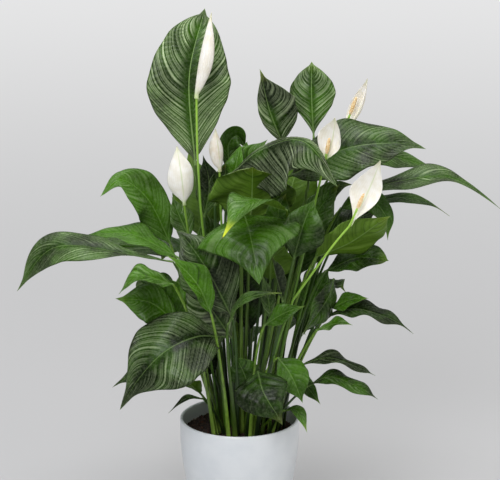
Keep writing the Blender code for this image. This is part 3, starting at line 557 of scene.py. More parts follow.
# ---------------------------------------------------------------- materials of the pot, soil and stage
def pot_material():
    """Stoneware with a matt white glaze: soft wide highlights, faint clouding and pinhead pits."""
    material, tree, shader, point = new_material("stoneware_matt_white_glaze")
    cloud = add(tree, "noise", point, MM / 60, 4.0)
    speck = add(tree, "noise", point, MM / 1.4, 1.0)
    colour = add(tree, "mix", add(tree, "ramp", cloud, 0.3, 0.7), linear("#dfe3e6"), linear("#d7dce0"))
    pits = add(tree, "ramp", speck, 0.72, 0.80, 0.0, 0.35)
    height = add(tree, "plus", add(tree, "noise", point, MM / 9, 2.0), add(tree, "times", speck, 0.25))
    feed(shader, {
        "Base Color": add(tree, "mix", pits, colour, linear("#b9bcbc")),
        "Roughness": add(tree, "ramp", cloud, 0.3, 0.7, 0.28, 0.36),
        "Normal": add(tree, "bump", inputs={"Strength": 0.12, "Distance": 0.0006, "Height": height}),
        "IOR": 1.5,
    })
    return material


def soil_material():
    """Peat mix: damp, dark and crumbly, with paler fibres."""
    material, tree, shader, point = new_material("peat_mix_damp")
    grain = add(tree, "noise", point, MM / 3.5, 5.0)
    patch = add(tree, "noise", point, MM / 18, 3.0)
    colour = add(tree, "mix", add(tree, "ramp", grain, 0.35, 0.70), linear("#1a100c"), linear("#3d2a20"))
    damp = add(tree, "ramp", patch, 0.45, 0.70, 0.0, 0.5)
    feed(shader, {
        "Base Color": add(tree, "mix", damp, colour, linear("#2a1512")),
        "Roughness": 0.92,
        "Normal": add(tree, "bump", inputs={"Strength": 0.8, "Distance": 0.0015, "Height": grain}),
    })
    return material


def grain_material(name, dark, light, roughness):
    """Loose bits in the mix, mottled between two colours from bit to bit."""
    material, tree, shader, point = new_material(name)
    spot = add(tree, "ramp", add(tree, "noise", point, MM / 7, 2.0), 0.38, 0.62)
    grit = add(tree, "noise", point, MM / 0.9, 3.0)
    feed(shader, {
        "Base Color": add(tree, "mix", spot, linear(dark), linear(light)),
        "Roughness": roughness,
        "Normal": add(tree, "bump", inputs={"Strength": 0.5, "Distance": 0.0005, "Height": grit}),
    })
    return material


def paper_material():
    """Matt seamless studio paper, lit more strongly far from the plant so that it runs into the air."""
    material, tree, shader, point = new_material("studio_paper_matt")
    away = add(tree, "ShaderNodeVectorMath", point, operation="LENGTH")
    share = add(tree, "over", away, add(tree, "plus", away, 4.0))
    feed(shader, {
        "Base Color": linear("#959596"),
        "Roughness": 0.9,
        "Emission Color": linear("#ffffff"),
        "Emission Strength": add(tree, "ramp", share, 0.10, 0.90, 0.24, 0.66),
    })
    material.cycles.emission_sampling = "NONE"
    return material


# ---------------------------------------------------------------- pot and soil
POT_STEPS = 144
SOIL_RINGS, SOIL_STEPS = 46, 150
SOIL_UNDER_RADIUS = 0.093


def turned(name, profile, steps, material):
    """A closed profile of (radius, height) from axis to axis, turned about Z, with a point at each pole."""
    profile = np.asarray(profile, float)
    angles = np.arange(steps) / steps * TAU
    body = profile[1:-1]
    radii, heights = body[:, :1], np.repeat(body[:, 1:], steps, 1)
    rings = np.stack([radii * np.cos(angles), radii * np.sin(angles), heights], axis=-1)
    verts = np.vstack([rings.reshape(-1, 3), [(0, 0, profile[0, 1]), (0, 0, profile[-1, 1])]])
    faces = ring_faces(len(body), steps)
    first, last = len(verts) - 2, len(verts) - 1
    base = (len(body) - 1) * steps
    faces += [((i + 1) % steps, i, first) for i in range(steps)]
    faces += [(base + i, base + (i + 1) % steps, last) for i in range(steps)]
    return mesh_object(name, verts, faces, [material])


def build_pot():
    """The ceramic shell with a rounded rim, a smooth taper and a small foot ring."""
    outline = np.array(POT_OUTLINE)
    outer = spline(np.column_stack([outline, np.zeros(len(outline))]), np.linspace(0, 1, 40))[:, :2]
    inner = [(radius - POT_WALL, max(height, POT_FLOOR + 0.002)) for radius, height in outer][::-1]
    half_wall = POT_WALL / 2
    rim = (outline[0, 0] - half_wall, POT_HEIGHT - half_wall)
    lip = [
        (rim[0] + half_wall * math.cos(a), rim[1] + half_wall * math.sin(a))
        for a in np.linspace(math.pi, 0, 13)
    ]
    # the wall steps in to the foot ring, which turns under in a small bend about its own centre
    foot = [(POT_FOOT_RADIUS + 0.0035, 0.0060), (POT_FOOT_RADIUS + 0.0012, 0.0026)]
    centre, bend = (POT_FOOT_RADIUS - 0.003, POT_FOOT_BEND), POT_FOOT_BEND
    foot += [
        (centre[0] + bend * math.sin(a) * 0.7, centre[1] - bend * math.cos(a))
        for a in (0.9, 0.45, 0.0)
    ]
    floor = [(0, POT_FLOOR), (POT_FOOT_RADIUS - POT_WALL - 0.004, POT_FLOOR)]
    profile = floor + inner + lip + outer.tolist() + foot + [(0.0, 0.0)]
    return place(turned("pot_shell", profile, POT_STEPS, pot_material()), "pot_ceramic", "pot")


def soil_height(x, y):
    """The soil's lumps: slow swells, small clods and a slight rise in the middle of the clump."""
    swell = 0.0022 * np.sin(31 * x + 1.3) * np.cos(27 * y - 0.4) + 0.0015 * np.sin(83 * x - 57 * y)
    clods = 0.0011 * np.sin(241 * x + 2.1 * np.sin(190 * y)) * np.cos(263 * y + 1.7 * np.sin(170 * x))
    return SOIL_TOP + swell + clods + 0.004 * np.exp(-(x**2 + y**2) / 0.06**2) - 0.001


def build_soil():
    """The soil plug, with a lumpy top that laps up against the pot."""
    radius = POT_OUTLINE[1][0] - POT_WALL - 2 * GAP
    angles = np.arange(SOIL_STEPS) / SOIL_STEPS * TAU
    radii = radius * np.linspace(0.02, 1.0, SOIL_RINGS)
    x = radii[:, None] * np.cos(angles)
    y = radii[:, None] * np.sin(angles)
    top = np.stack([x, y, soil_height(x, y)], axis=-1)
    bottom = SOIL_TOP - SOIL_DEPTH
    around = SOIL_UNDER_RADIUS * np.array([np.cos(angles), np.sin(angles)])
    edge = np.stack([*around, np.full(SOIL_STEPS, bottom)], axis=-1)
    verts = np.vstack([top.reshape(-1, 3), edge, [(0, 0, soil_height(0, 0)), (0, 0, bottom)]])
    faces = ring_faces(SOIL_RINGS + 1, SOIL_STEPS)
    centre, under = len(verts) - 2, len(verts) - 1
    base = SOIL_RINGS * SOIL_STEPS
    faces += [((i + 1) % SOIL_STEPS, i, centre) for i in range(SOIL_STEPS)]
    faces += [(base + i, base + (i + 1) % SOIL_STEPS, under) for i in range(SOIL_STEPS)]
    return place(mesh_object("soil_plug", verts, faces, [soil_material()]), "potting_soil", "soil")


def new_growth(name, inputs):
    """An empty Geometry Nodes tree with its named inputs, and the sockets that give them."""
    tree = bpy.data.node_groups.new(name, "GeometryNodeTree")
    for label, kind in inputs.items():
        tree.interface.new_socket(label, in_out="INPUT", socket_type="NodeSocket" + kind)
    tree.interface.new_socket("Grown", in_out="OUTPUT", socket_type="NodeSocketGeometry")
    return tree, add(tree, "NodeGroupInput").outputs


def end_growth(tree, geometry, material, rounded=False):
    """Ends a tree: its instances made real, shaded smooth if they are rounded, and given their material."""
    real = add(tree, "GeometryNodeRealizeInstances", geometry)
    if rounded:
        real = add(tree, "GeometryNodeSetShadeSmooth", real)
    final = add(tree, "GeometryNodeSetMaterial", inputs={"Geometry": real, "Material": material})
    add(tree, "NodeGroupOutput", final)
    return tree


def scatter_tree():
    """Geometry Nodes: lays rough bits over an upward surface, each turned and sized at random."""
    tree, given = new_growth("scatter_bits", {
        "Surface": "Geometry", "Bits per square metre": "Float", "Size": "Vector", "Seed": "Int",
        "Material": "Material",
    })
    seed = given["Seed"]
    upward = add(tree, "split", add(tree, "GeometryNodeInputNormal")).outputs[2]
    is_top = add(tree, "FunctionNodeCompare", upward, 0.5, operation="GREATER_THAN")
    points = add(tree, "GeometryNodeDistributePointsOnFaces", inputs={
        "Mesh": given["Surface"], "Selection": is_top, "Seed": seed,
        "Density": given["Bits per square metre"],
    })
    ball = add(tree, "GeometryNodeMeshIcoSphere", inputs={"Radius": 0.5, "Subdivisions": 1})
    rough = add(tree, "noise", inputs={"Scale": 2.3, "Detail": 1.0}).outputs["Color"]
    centred = add(tree, "ShaderNodeVectorMath", rough, (0.5, 0.5, 0.5), operation="SUBTRACT")
    push = add(tree, "ShaderNodeVectorMath", centred, 1.3, operation="SCALE")
    bit = add(tree, "GeometryNodeSetPosition", inputs={"Geometry": ball, "Offset": push})
    bit = add(tree, "GeometryNodeTransform", inputs={"Geometry": bit, "Scale": given["Size"]})
    whole_turns = ((0, 0, 0), (TAU, TAU, TAU))
    turn = add(tree, "FunctionNodeRandomValue", *whole_turns, inputs={"Seed": seed}, data_type="FLOAT_VECTOR")
    scale = add(tree, "FunctionNodeRandomValue", 0.5, 1.4, inputs={"Seed": seed}, data_type="FLOAT")
    laid = add(tree, "GeometryNodeInstanceOnPoints", inputs={
        "Points": points, "Instance": bit, "Rotation": turn, "Scale": scale,
    })
    return end_growth(tree, laid, given["Material"])


def grown(name, source, tree, values):
    """Runs a Geometry Nodes tree on a copy of an object and keeps the result as a plain mesh."""
    helper = bpy.data.objects.new(name + "_source", source.data.copy())
    bpy.context.scene.collection.objects.link(helper)
    modifier = helper.modifiers.new("grow", "NODES")
    modifier.node_group = tree
    named = {item.name: item.identifier for item in tree.interface.items_tree if item.in_out == "INPUT"}
    for key, value in values.items():
        modifier[named[key]] = value
    bpy.context.view_layer.update()
    graph = bpy.context.evaluated_depsgraph_get()
    mesh = bpy.data.meshes.new_from_object(helper.evaluated_get(graph))
    bpy.data.objects.remove(helper, do_unlink=True)
    mesh.name = name
    obj = bpy.data.objects.new(name, mesh)
    bpy.context.scene.collection.objects.link(obj)
    return obj


SOIL_BITS = [  # name, bits per square metre, size, seed, and the finish: its name, dark, light and roughness
    ("soil_crumbs", 80000.0, (0.0032, 0.0028, 0.0022), 3, ("peat_crumbs_dry", "#1d120d", "#4a3326", 0.9)),
    ("soil_bark", 4200.0, (0.0085, 0.0036, 0.0022), 11,
     ("bark_chips_weathered", "#3a1d14", "#6e4632", 0.8)),
    ("soil_perlite", 1500.0, (0.0032, 0.0030, 0.0026), 23,
     ("perlite_expanded", "#cfc6b4", "#f0ead8", 0.85)),
]


def build_soil_bits(soil):
    """Loose crumbs, bark and perlite on the soil."""
    tree = scatter_tree()
    for name, density, size, seed, finish in SOIL_BITS:
        values = {
            "Bits per square metre": density, "Size": size, "Seed": seed, "Material": grain_material(*finish),
        }
        place(grown(name, soil, tree, values), "potting_soil")


# ---------------------------------------------------------------- leaves
ACROSS = 14  # columns on each side of a midrib
STALK_ROWS = 26
ROW_LENGTH = 0.0018  # how much of a blade's length each row of its mesh covers
FEWEST_ROWS, MOST_ROWS = 40, 190
VEIN_SPACING = 0.0135
VEIN_DEPTH = 0.0013
VEIN_LAG = 0.34  # how much further along the blade a vein meets the margin than the midrib
FLESH = 0.00045  # half the blade's thickness at its midrib
GROOVE_WIDTH, GROOVE_DEPTH = 0.0024, 0.0011  # the channel down the top of a midrib
TIP_DROP = 0.0015  # the last point, past the last row


def blade_share(s, look):
    """Half breadth as a share of its greatest: an oval body that ends in a narrow spur."""
    t = np.clip(s / (1 - 0.55 * look["drip"]), 0.0, 1.0)
    power = look["foot_taper"] * (1 - t) + look["tip_taper"] * t
    body = np.maximum(np.sin(np.pi * t ** look["belly"]), 0.0) ** power
    spur = 0.15 * ((1 - s) / look["drip"]) ** 0.9 * np.clip((s - 0.55) / 0.25, 0.0, 1.0)
    return (body**3 + spur**3) ** (1 / 3)


def bezier(a, b, c, d, count):
    """Points on a cubic curve."""
    t = np.linspace(0, 1, count)[:, None]
    return a * (1 - t) ** 3 + 3 * b * t * (1 - t) ** 2 + 3 * c * t**2 * (1 - t) + d * t**3


def stalk_path(foot, neck, leaving, count):
    """A stalk's curve: straight up out of the soil, then over to the neck."""
    reach = np.linalg.norm(neck - foot)
    straight = (neck - foot) / reach
    rise = foot + unit(UP + straight) * reach * 0.35
    arrive = neck - unit(leaving * 0.35 + straight * 0.65) * reach * 0.25
    return bezier(foot, rise, arrive, neck, count)


def blade_columns():
    """Places across a blade from -1 to 1, closer together at the midrib and at the margins."""
    t = np.linspace(0, 1, ACROSS + 1)
    side = 0.55 * t**1.6 + 0.45 * (1 - (1 - t) ** 1.5)
    return np.concatenate([-side[:0:-1], side])


def stalk_walls(foot, points, face, leaving, look, turn_x, turn_y):
    """A stalk's upper and lower points, ring by ring: a channelled sheath low down, then round."""
    path = stalk_path(foot, points[0], leaving, STALK_ROWS + 1)[:-1]
    t = np.linspace(0, 1, STALK_ROWS + 1)[:-1, None]
    home = unit(np.array((-foot[0], -foot[1], 0.02)) + 1e-6)
    _, side, up = directions(path, unit(home * (1 - t) + face * t))
    side[0], up[0] = side[1], up[1]
    radius = STALK_FOOT_RADIUS + (STALK_NECK_RADIUS - STALK_FOOT_RADIUS) * t**0.7
    breadth = radius * (1 + look["sheath"] * (1 - t) ** 2.2)
    dish = 0.55 * (1 - t) ** 1.5
    x = breadth * turn_x
    above = radius * 0.85 * turn_y * (1 - dish) - radius * dish * 0.3 * (1 - turn_x**2)
    below = -radius * 0.85 * turn_y
    spread = path[:, None] + side[:, None] * x[..., None]
    return spread + up[:, None] * above[..., None], spread + up[:, None] * below[..., None], t - 1.0


def blade_frame(points, face, look, length, rows):
    """The midrib's points with the tangent, sideways and upward directions at each."""
    s = np.linspace(0, 1, rows)
    path = spline(points, s)
    hook = np.clip((s - 0.78) / 0.22, 0.0, 1.0) ** 2
    path = path - UP * (look["hook"] * length * hook)[:, None]
    tip_face = unit(np.array(look["tip_face"] or face, float))
    turned_face = unit(face + (tip_face - face) * smooth(*look["turn"], s)[:, None])
    tangent, side, up = directions(path, turned_face)
    angle = (look["twist"] * s**1.4)[:, None]
    return path, tangent, side * np.cos(angle) + up * np.sin(angle), up * np.cos(angle) - side * np.sin(angle)


def margins(width, look, s, columns):
    """Half breadths for each row and column: lopsided, and a little uneven along each margin."""
    sign = np.sign(columns)
    half = np.maximum(width / 2 * blade_share(s, look), 0.0003) * (1 + look["lopsided"] * sign)
    uneven = 0.025 * np.sin(TAU * (2.3 * s + look["phase"] + 0.4 * sign))
    uneven = uneven + 0.012 * np.sin(TAU * (6.1 * s - 0.2 * sign))
    return half * (1 + uneven * smooth(0.1, 0.3, s))


def blade_rise(fold, look, s, columns, half):
    """How high the blade stands off its midrib: folded halves, drooping margins, waves and slow buckling."""
    span = np.abs(columns)
    sign = np.sign(columns)
    creased = fold * (1 + look["lean"] * sign) * 1.5 * (np.sqrt(span**2 + 0.012) - 0.11)
    height = half * (creased - look["droop"] * span**2.4)
    along_wave = np.sin(TAU * (look["waves"] * s**0.9 + look["phase"] + 0.31 * sign))
    calm = smooth(0.04, 0.25, s) * (1 - smooth(0.88, 1.0, s))
    height = height + half * look["wave"] * span**2 * along_wave * calm
    buckle = np.sin(TAU * (1.7 * s + 0.45 * columns + look["phase"] * 1.7))
    return height + half * 0.07 * buckle * smooth(0.1, 0.5, span) * calm


def vein_number(length, look, s, span):
    """Which vein each point is at, a whole number on each vein, which sweep forward to the margin."""
    reached = s - VEIN_LAG * (1 - 0.3 * s) * (0.6 * span + 0.4 * span**2.6)
    vein = length / VEIN_SPACING * reached
    return vein + 0.30 * np.sin(TAU * (2.3 * reached + look["phase"])) + 0.18 * np.sin(TAU * 5.7 * reached)


def build_leaf(name, width, fold, face, points, foot, look, materials):
    """One leaf as a closed mesh: a channelled stalk that opens into a thin, veined, waved blade."""
    points = np.array(points, float)
    face = unit(np.array(face, float))
    leaving = unit(spline(points, np.array([0.04]))[0] - points[0])
    columns = blade_columns()
    count = len(columns)
    turn = (1 - columns) / 2 * math.pi
    turn_x, turn_y = np.cos(turn), np.sin(turn)
    stalk_top, stalk_low, stalk_along = stalk_walls(foot, points, face, leaving, look, turn_x, turn_y)

    length = np.linalg.norm(np.diff(points, axis=0), axis=1).sum()
    rows = int(np.clip(length / ROW_LENGTH, FEWEST_ROWS, MOST_ROWS))
    path, tangent, side, up = blade_frame(points, face, look, length, rows)
    s = np.linspace(0, 1, rows)[:, None]
    span = np.abs(columns)
    half = margins(width, look, s, columns)
    height = blade_rise(fold, look, s, columns, half)
    vein = vein_number(length, look, s, span)
    x = half * columns

    # the flesh stands up in a low pillow between two veins, less so by the midrib and the margin
    pillow = np.abs(np.sin(np.pi * vein)) ** 0.8
    fading = smooth(0.03, 0.20, span) * (1 - span**8) * smooth(0.1, 0.8, half / 0.03)
    body = height + VEIN_DEPTH * look["relief"] * fading * (pillow - 0.6)
    flesh = FLESH * (1 - 0.6 * span)
    groove = np.exp(-((x / GROOVE_WIDTH) ** 2)) * GROOVE_DEPTH * (1 - s) ** 0.5
    rib = STALK_NECK_RADIUS * 0.9 * (1 - s) ** 0.8
    keel = np.sqrt(np.maximum(rib**2 - x**2, 0.0))

    # the round stalk opens into the flat blade over its first rows
    opened = smooth(0.0, 0.09, s)
    round_x = STALK_NECK_RADIUS * turn_x * (1 - opened)
    round_y = STALK_NECK_RADIUS * 0.85 * turn_y * (1 - opened)
    above = (body + flesh - groove) * opened + round_y
    below = (body - flesh - keel) * opened - round_y
    above[:, [0, -1]] = (height * opened)[:, [0, -1]]
    below[:, [0, -1]] = above[:, [0, -1]]
    spread = path[:, None] + side[:, None] * (x * opened + round_x)[..., None]
    blade_top = spread + up[:, None] * above[..., None]
    blade_low = spread + up[:, None] * below[..., None]

    top = np.vstack([stalk_top, blade_top])
    low = np.vstack([stalk_low, blade_low])
    rings = np.concatenate([top, low[:, -2:0:-1]], axis=1)
    total, around = rings.shape[:2]
    verts = np.vstack([rings.reshape(-1, 3), path[-1] + tangent[-1] * TIP_DROP])
    faces = ring_faces(total, around)
    row_slots = np.where(np.arange(around) < count - 1, 0, 1)
    slots = [2] * (STALK_ROWS * around) + np.tile(row_slots, rows - 1).tolist()
    faces.append(tuple(range(around))[::-1])
    last = (total - 1) * around
    faces += [(last + i, last + (i + 1) % around, len(verts) - 1) for i in range(around)]
    obj = mesh_object(name + "_living", verts, faces, materials, slots + [2] + [0] * around)

    def ring_values(stalk_value, blade_value, end):
        """One number for each point, from its value on the stalk and on the blade."""
        stalk_part = np.broadcast_to(stalk_value, (STALK_ROWS, count))
        upper = np.vstack([stalk_part, np.broadcast_to(blade_value, (rows, count))])
        return np.append(np.concatenate([upper, upper[:, -2:0:-1]], axis=1).ravel(), end)

    along = ring_values(stalk_along, s, 1.0)
    across = ring_values(0.0, columns, 0.0)
    breadths = ring_values(3.0, half * MM, 0.5)
    point_values(obj, "blade", np.stack([along, across, breadths], axis=1))
    same = np.ones(len(verts))
    point_values(obj, "look", np.stack([same * look[key] for key in ("tone", "dry", "band")], axis=1))
    point_values(obj, "vein", ring_values(0.0, vein, 0.5))
    return obj


# What is drawn at random for each leaf, in this order, between two values or from a list:
# tone, from dark to fresh; dry, how yellow its tip is; band, how plain its painted highlight stripes of
# sheen are; sheath, how far the stalk's foot widens; belly, under 1 where the blade is broadest near its
# neck; the fullness of its two ends; drip, the length of its spur; the size and number of the waves along
# its margins; phase, where they start; droop of the margins; relief of the veins; how lopsided it is; lean
# of the fold to one side; hook of the tip; and twist in radians.
DRAWN = {
    "tone": (0.05, 0.75), "dry": [0.0, 0.05, 0.12], "band": (0.05, 0.3), "sheath": (0.1, 0.6),
    "belly": (0.92, 1.08), "foot_taper": (0.95, 1.2), "tip_taper": (1.0, 1.5), "drip": (0.08, 0.13),
    "wave": (0.08, 0.20), "waves": (1.5, 3.0), "phase": (0, 1), "droop": (0.12, 0.30), "relief": (0.8, 1.2),
    "lopsided": (-0.08, 0.08), "lean": (-0.5, 0.5), "hook": (0.0, 0.05), "twist": (-0.5, 0.5),
}

# What is set where it matters. tip_face is the way that the tip faces, and turn says between which
# shares of the blade it turns to that.
LEAF_LOOKS = {
    "leaf_crown": {
        "tone": 0.4, "belly": 1.12, "foot_taper": 1.15, "tip_taper": 0.62, "drip": 0.07, "wave": 0.05,
        "droop": 0.10, "relief": 1.8, "dry": 0.0, "band": 1.0, "twist": 0.1, "hook": 0.0, "lopsided": 0.0,
        "lean": 0.2, "phase": 0.55,
    },
    "leaf_front_heart": {
        "tone": 0.05, "belly": 0.80, "foot_taper": 0.8, "tip_taper": 1.3, "wave": 0.05, "dry": 0.05,
        "band": 0.05,
    },
    "leaf_front_bright": {"tone": 0.7},
    "leaf_high_left": {"tone": 0.8, "band": 0.2, "dry": 0.0},
    "leaf_upright_dark": {
        "tone": 0.1, "band": 0.6, "lopsided": 0.35, "drip": 0.16, "twist": 0.0, "belly": 1.0,
    },
    "leaf_centre_left": {"tone": 0.15, "band": 0.35, "wave": 0.1},
    "leaf_striped": {"tone": 0.1, "band": 0.6, "dry": 0.0},
    "leaf_long_right": {"tone": 0.25, "band": 0.4},
    "leaf_twist_upper": {"belly": 1.35, "wave": 0.25, "tip_taper": 0.9, "dry": 0.0},
    "leaf_twist_lower": {"belly": 1.35, "wave": 0.25, "tip_taper": 0.9, "dry": 0.0},
    "leaf_wavy_right": {"belly": 1.2, "wave": 0.25, "dry": 0.0},
    "leaf_round_left": {"tone": 0.7, "belly": 1.1, "band": 0.2},
    "leaf_upright_bright": {
        "tone": 0.5, "wave": 0.06, "twist": 0.0, "band": 0.72, "belly": 1.3, "foot_taper": 1.3,
        "tip_taper": 0.9, "relief": 1.8,
    },
    "leaf_yellow_tip": {"tone": 0.7, "dry": 1.0, "twist": 0.0, "droop": 0.08, "wave": 0.04, "lean": 0.0},
    "leaf_rounded_right": {
        "tone": 0.35, "belly": 1.15, "tip_taper": 0.6, "drip": 0.05, "wave": 0.05, "droop": 0.1, "twist": 0.0,
    },
    "leaf_pointed_left": {"tone": 0.85, "wave": 0.08},
    "leaf_upper_left": {"tone": 0.85, "dry": 0.0},
    "leaf_bright_strip": {"tone": 0.95},
    "leaf_broad_low_left": {
        "tone": 0.1, "dry": 0.0, "wave": 0.05, "droop": 0.15, "relief": 1.5, "band": 0.38, "twist": 0.1,
    },
    "leaf_pale_right": {
        "tone": 0.9, "belly": 1.0, "foot_taper": 0.9, "tip_taper": 1.0, "wave": 0.04, "droop": 0.08,
        "twist": 0.0, "band": 0.9, "relief": 1.6,
    },
    "leaf_small_upright": {"tone": 0.9},
    "leaf_long_left": {
        "tip_face": (-0.6, -0.9, 0.2), "turn": (0.45, 0.8), "tone": 0.3, "band": 0.4, "twist": 0.0,
        "dry": 0.0, "belly": 1.2,
    },
    "leaf_broad_right": {"tone": 0.2, "band": 0.3, "twist": 0.0, "belly": 0.95},
    "leaf_wave": {
        "tone": 0.1, "band": 0.7, "twist": 0.0, "droop": 0.2, "lean": 0.8, "lopsided": 0.25, "dry": 0.0,
        "belly": 0.85, "foot_taper": 0.8, "wave": 0.06, "relief": 1.5,
    },
    "leaf_front_broad": {
        "tone": 0.6, "belly": 0.72, "foot_taper": 0.8, "tip_taper": 1.6, "droop": 0.35, "band": 0.15,
    },
    "leaf_underside": {
        "tone": 0.5, "belly": 1.15, "foot_taper": 1.0, "tip_taper": 0.7, "droop": 0.45, "wave": 0.1,
        "band": 0.8,
    },
}


def leaf_look(name, rng):
    """How a leaf differs from its neighbours: drawn at random, then set where it matters."""
    look = {"tip_face": None, "turn": (0.15, 0.85)}
    for key, span in DRAWN.items():
        look[key] = rng.choice(span) if isinstance(span, list) else rng.uniform(*span)
    look.update(LEAF_LOOKS.get(name, {}))
    return look


def build_leaves(feet):
    """All the leaves, the framed ones first."""
    materials = [
        # pale (#bccda0 above, #82a04c below) is the painted highlight of sheen on the pillow ridges; rib
        # (#0c1903 above) is painted shade in the vein grooves
        leaf_material("leaf_skin_upper_waxy", "#0d1b02", "#3d690a", "#bccda0", "#0c1903", 0.27, 0.90, 0.62),
        leaf_material("leaf_skin_under_matt", "#35500b", "#537519", "#82a04c", "#2a430a", 0.50, 0.55, 0.80),
        stalk_material(),
    ]
    rng = np.random.default_rng(SEED)
    for (name, width, fold, face, points), foot in zip(LEAVES + SMALL_LEAVES, feet):
        obj = build_leaf(name, width, fold, face, points, foot, leaf_look(name, rng), materials)
        framed = [name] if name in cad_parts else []
        place(obj, "leaf", *framed)


def feet_of(starts):
    """Where each stalk leaves the soil: below its own blade, drawn in, and clear of its neighbours."""
    feet = [np.array(start[:2]) * FOOT_SHARE for start in starts]
    feet = [foot * min(1.0, FOOT_REACH / np.linalg.norm(foot)) for foot in feet]
    for _ in range(60):
        for i, first in enumerate(feet):
            for second in feet[i + 1 :]:
                apart = second - first
                gap = np.linalg.norm(apart)
                if gap < FOOT_SPACING:
                    push = apart / gap * (FOOT_SPACING - gap) / 2
                    first -= push
                    second += push
            clear = first - BARE_SPOT
            inside = max(BARE_RADIUS - np.linalg.norm(clear), 0.0)
            first += unit(clear) * inside
            first *= min(1.0, FOOT_REACH / np.linalg.norm(first))
    return [np.array((foot[0], foot[1], SOIL_TOP + GAP)) for foot in feet]


def small_feet(starts, taken):
    """Feet for the small leaves, each beside its neighbours without moving them."""
    feet = []
    spacing = FOOT_SPACING * 0.8
    for start in starts:
        foot = np.array(start[:2]) * FOOT_SHARE
        foot *= min(1.0, FOOT_REACH / max(np.linalg.norm(foot), 1e-6))
        for _ in range(40):
            for other in taken + feet:
                apart = foot - other[:2]
                gap = np.linalg.norm(apart)
                if gap < spacing:
                    foot = foot + apart / max(gap, 1e-6) * (spacing - gap)
        foot *= min(1.0, FOOT_REACH / max(np.linalg.norm(foot), 1e-6))
        feet.append(np.array((foot[0], foot[1], SOIL_TOP + GAP)))
    return feet


# ---------------------------------------------------------------- flowers
STEM_SIDES = 12
FLORET_TURN = math.radians(137.508)  # the golden angle, which packs florets evenly
FLORET_PITCH = 0.00026  # how much of a spadix's length each floret adds
SPATHE_ROWS, SPATHE_COLUMNS = 72, 30


def build_stem(name, foot, points, end, material):
    """A flower's stem: a round tube from the soil, through the spathe's foot, to the spadix."""
    points = np.array(points, float)
    lower = stalk_path(foot, points[0], unit(points[1] - points[0]), 30)[:-1]
    inside = points[-1] + (end - points[-1]) * np.linspace(0, 1, 7)[1:, None]
    path = np.vstack([lower, spline(points, np.linspace(0, 1, 24)), inside])
    _, side, up = directions(path, np.array((0.2, -1.0, 0.1)))
    share = np.linspace(0, 1, len(path))[:, None]
    radius = FLOWER_STEM_RADIUS * (1.25 - 0.25 * share + 0.15 * smooth(0.96, 1.0, share))
    angles = np.arange(STEM_SIDES) / STEM_SIDES * TAU
    rings = (
        path[:, None]
        + side[:, None] * (radius * np.cos(angles))[..., None]
        + up[:, None] * (radius * np.sin(angles))[..., None]
    )
    verts = rings.reshape(-1, 3)
    faces = ring_faces(len(path), STEM_SIDES)
    faces.append(tuple(range(STEM_SIDES))[::-1])
    faces.append(tuple(range(len(verts) - STEM_SIDES, len(verts))))
    obj = mesh_object(name + "_living", verts, faces, [material])
    along = np.repeat(share[:, 0], STEM_SIDES)
    point_values(obj, "blade", np.stack([along, along * 0, along * 0 + 2], axis=1))
    return place(obj, "flower_stem", name)


def spathe_share(u):
    """A spathe's half breadth as a share of its greatest, from its base to its thread-like tip."""
    u = 0.05 + 0.95 * u
    return np.maximum(np.sin(np.pi * u**0.95), 0.0) ** (1.15 + 0.25 * u)


def build_spathe(name, base, tip, half, wrap, face, look, material):
    """A spathe: a thin curved hood, ribbed lengthwise, that clasps the stem and ends in a thread."""
    axis = unit(tip - base)
    across = unit(np.cross(axis, face))
    inward = np.cross(across, axis)
    clasp = FLOWER_STEM_RADIUS + SPATHE_THICKNESS + SPATHE_CLEARANCE
    length = np.linalg.norm(tip - base)
    u = np.linspace(0, 1, SPATHE_ROWS)[:, None]
    v = np.linspace(-1, 1, SPATHE_COLUMNS)
    share = spathe_share(u * 0.97) * smooth(-0.1, max(look["tail"], 0.0), u)
    radius = np.maximum(half * share / wrap, clasp * (1 - u) ** 2 + 0.0005)
    bow = 0.10 * length * np.sin(np.pi * u) * (0.3 if wrap > 1.2 else 1.0)
    back = base - inward * (clasp * (1 - u) + bow) + axis * length * u
    ripple = 0.00016 * np.cos(TAU * v * look["ribs"] / 2) * smooth(0.0, 0.2, u)
    wave = np.sin(TAU * (1.6 * u + look["phase"] + 0.3 * np.sign(v)))
    flare = look["flare"] * radius * np.abs(v) ** 3 * wave
    walls = []
    angle = wrap * v
    for offset in (SPATHE_THICKNESS * 0.30, -SPATHE_THICKNESS * 0.30):
        reach = radius + offset * (1 - 0.7 * np.abs(v) ** 4) + ripple + flare
        walls.append(
            back[:, None]
            + across * (reach * np.sin(angle))[..., None]
            + inward * (radius - reach * np.cos(angle))[..., None]
        )
    rings = np.concatenate([walls[0], walls[1][:, ::-1]], axis=1)
    around = rings.shape[1]
    verts = np.vstack([rings.reshape(-1, 3), back[-1] + axis * 0.0005])
    faces = ring_faces(SPATHE_ROWS, around)
    faces.append(tuple(range(around))[::-1])
    last = (SPATHE_ROWS - 1) * around
    faces += [(last + i, last + (i + 1) % around, len(verts) - 1) for i in range(around)]
    obj = mesh_object(name + "_living", verts, faces, [material])
    columns = np.concatenate([v, v[::-1]])
    along = np.append(np.repeat(u[:, 0], around), 1.0)
    sideways = np.append(np.tile(columns, SPATHE_ROWS), 0.0)
    breadth = np.append(np.repeat(radius[:, 0] * wrap * MM, around), 0.5)
    point_values(obj, "blade", np.stack([along, sideways, breadth], axis=1))
    ones = np.ones(len(verts))
    point_values(obj, "look", np.stack([ones, ones * look["age"], ones], axis=1))
    point_values(obj, "vein", sideways * look["ribs"] / 2)
    return place(obj, "spathe", name)


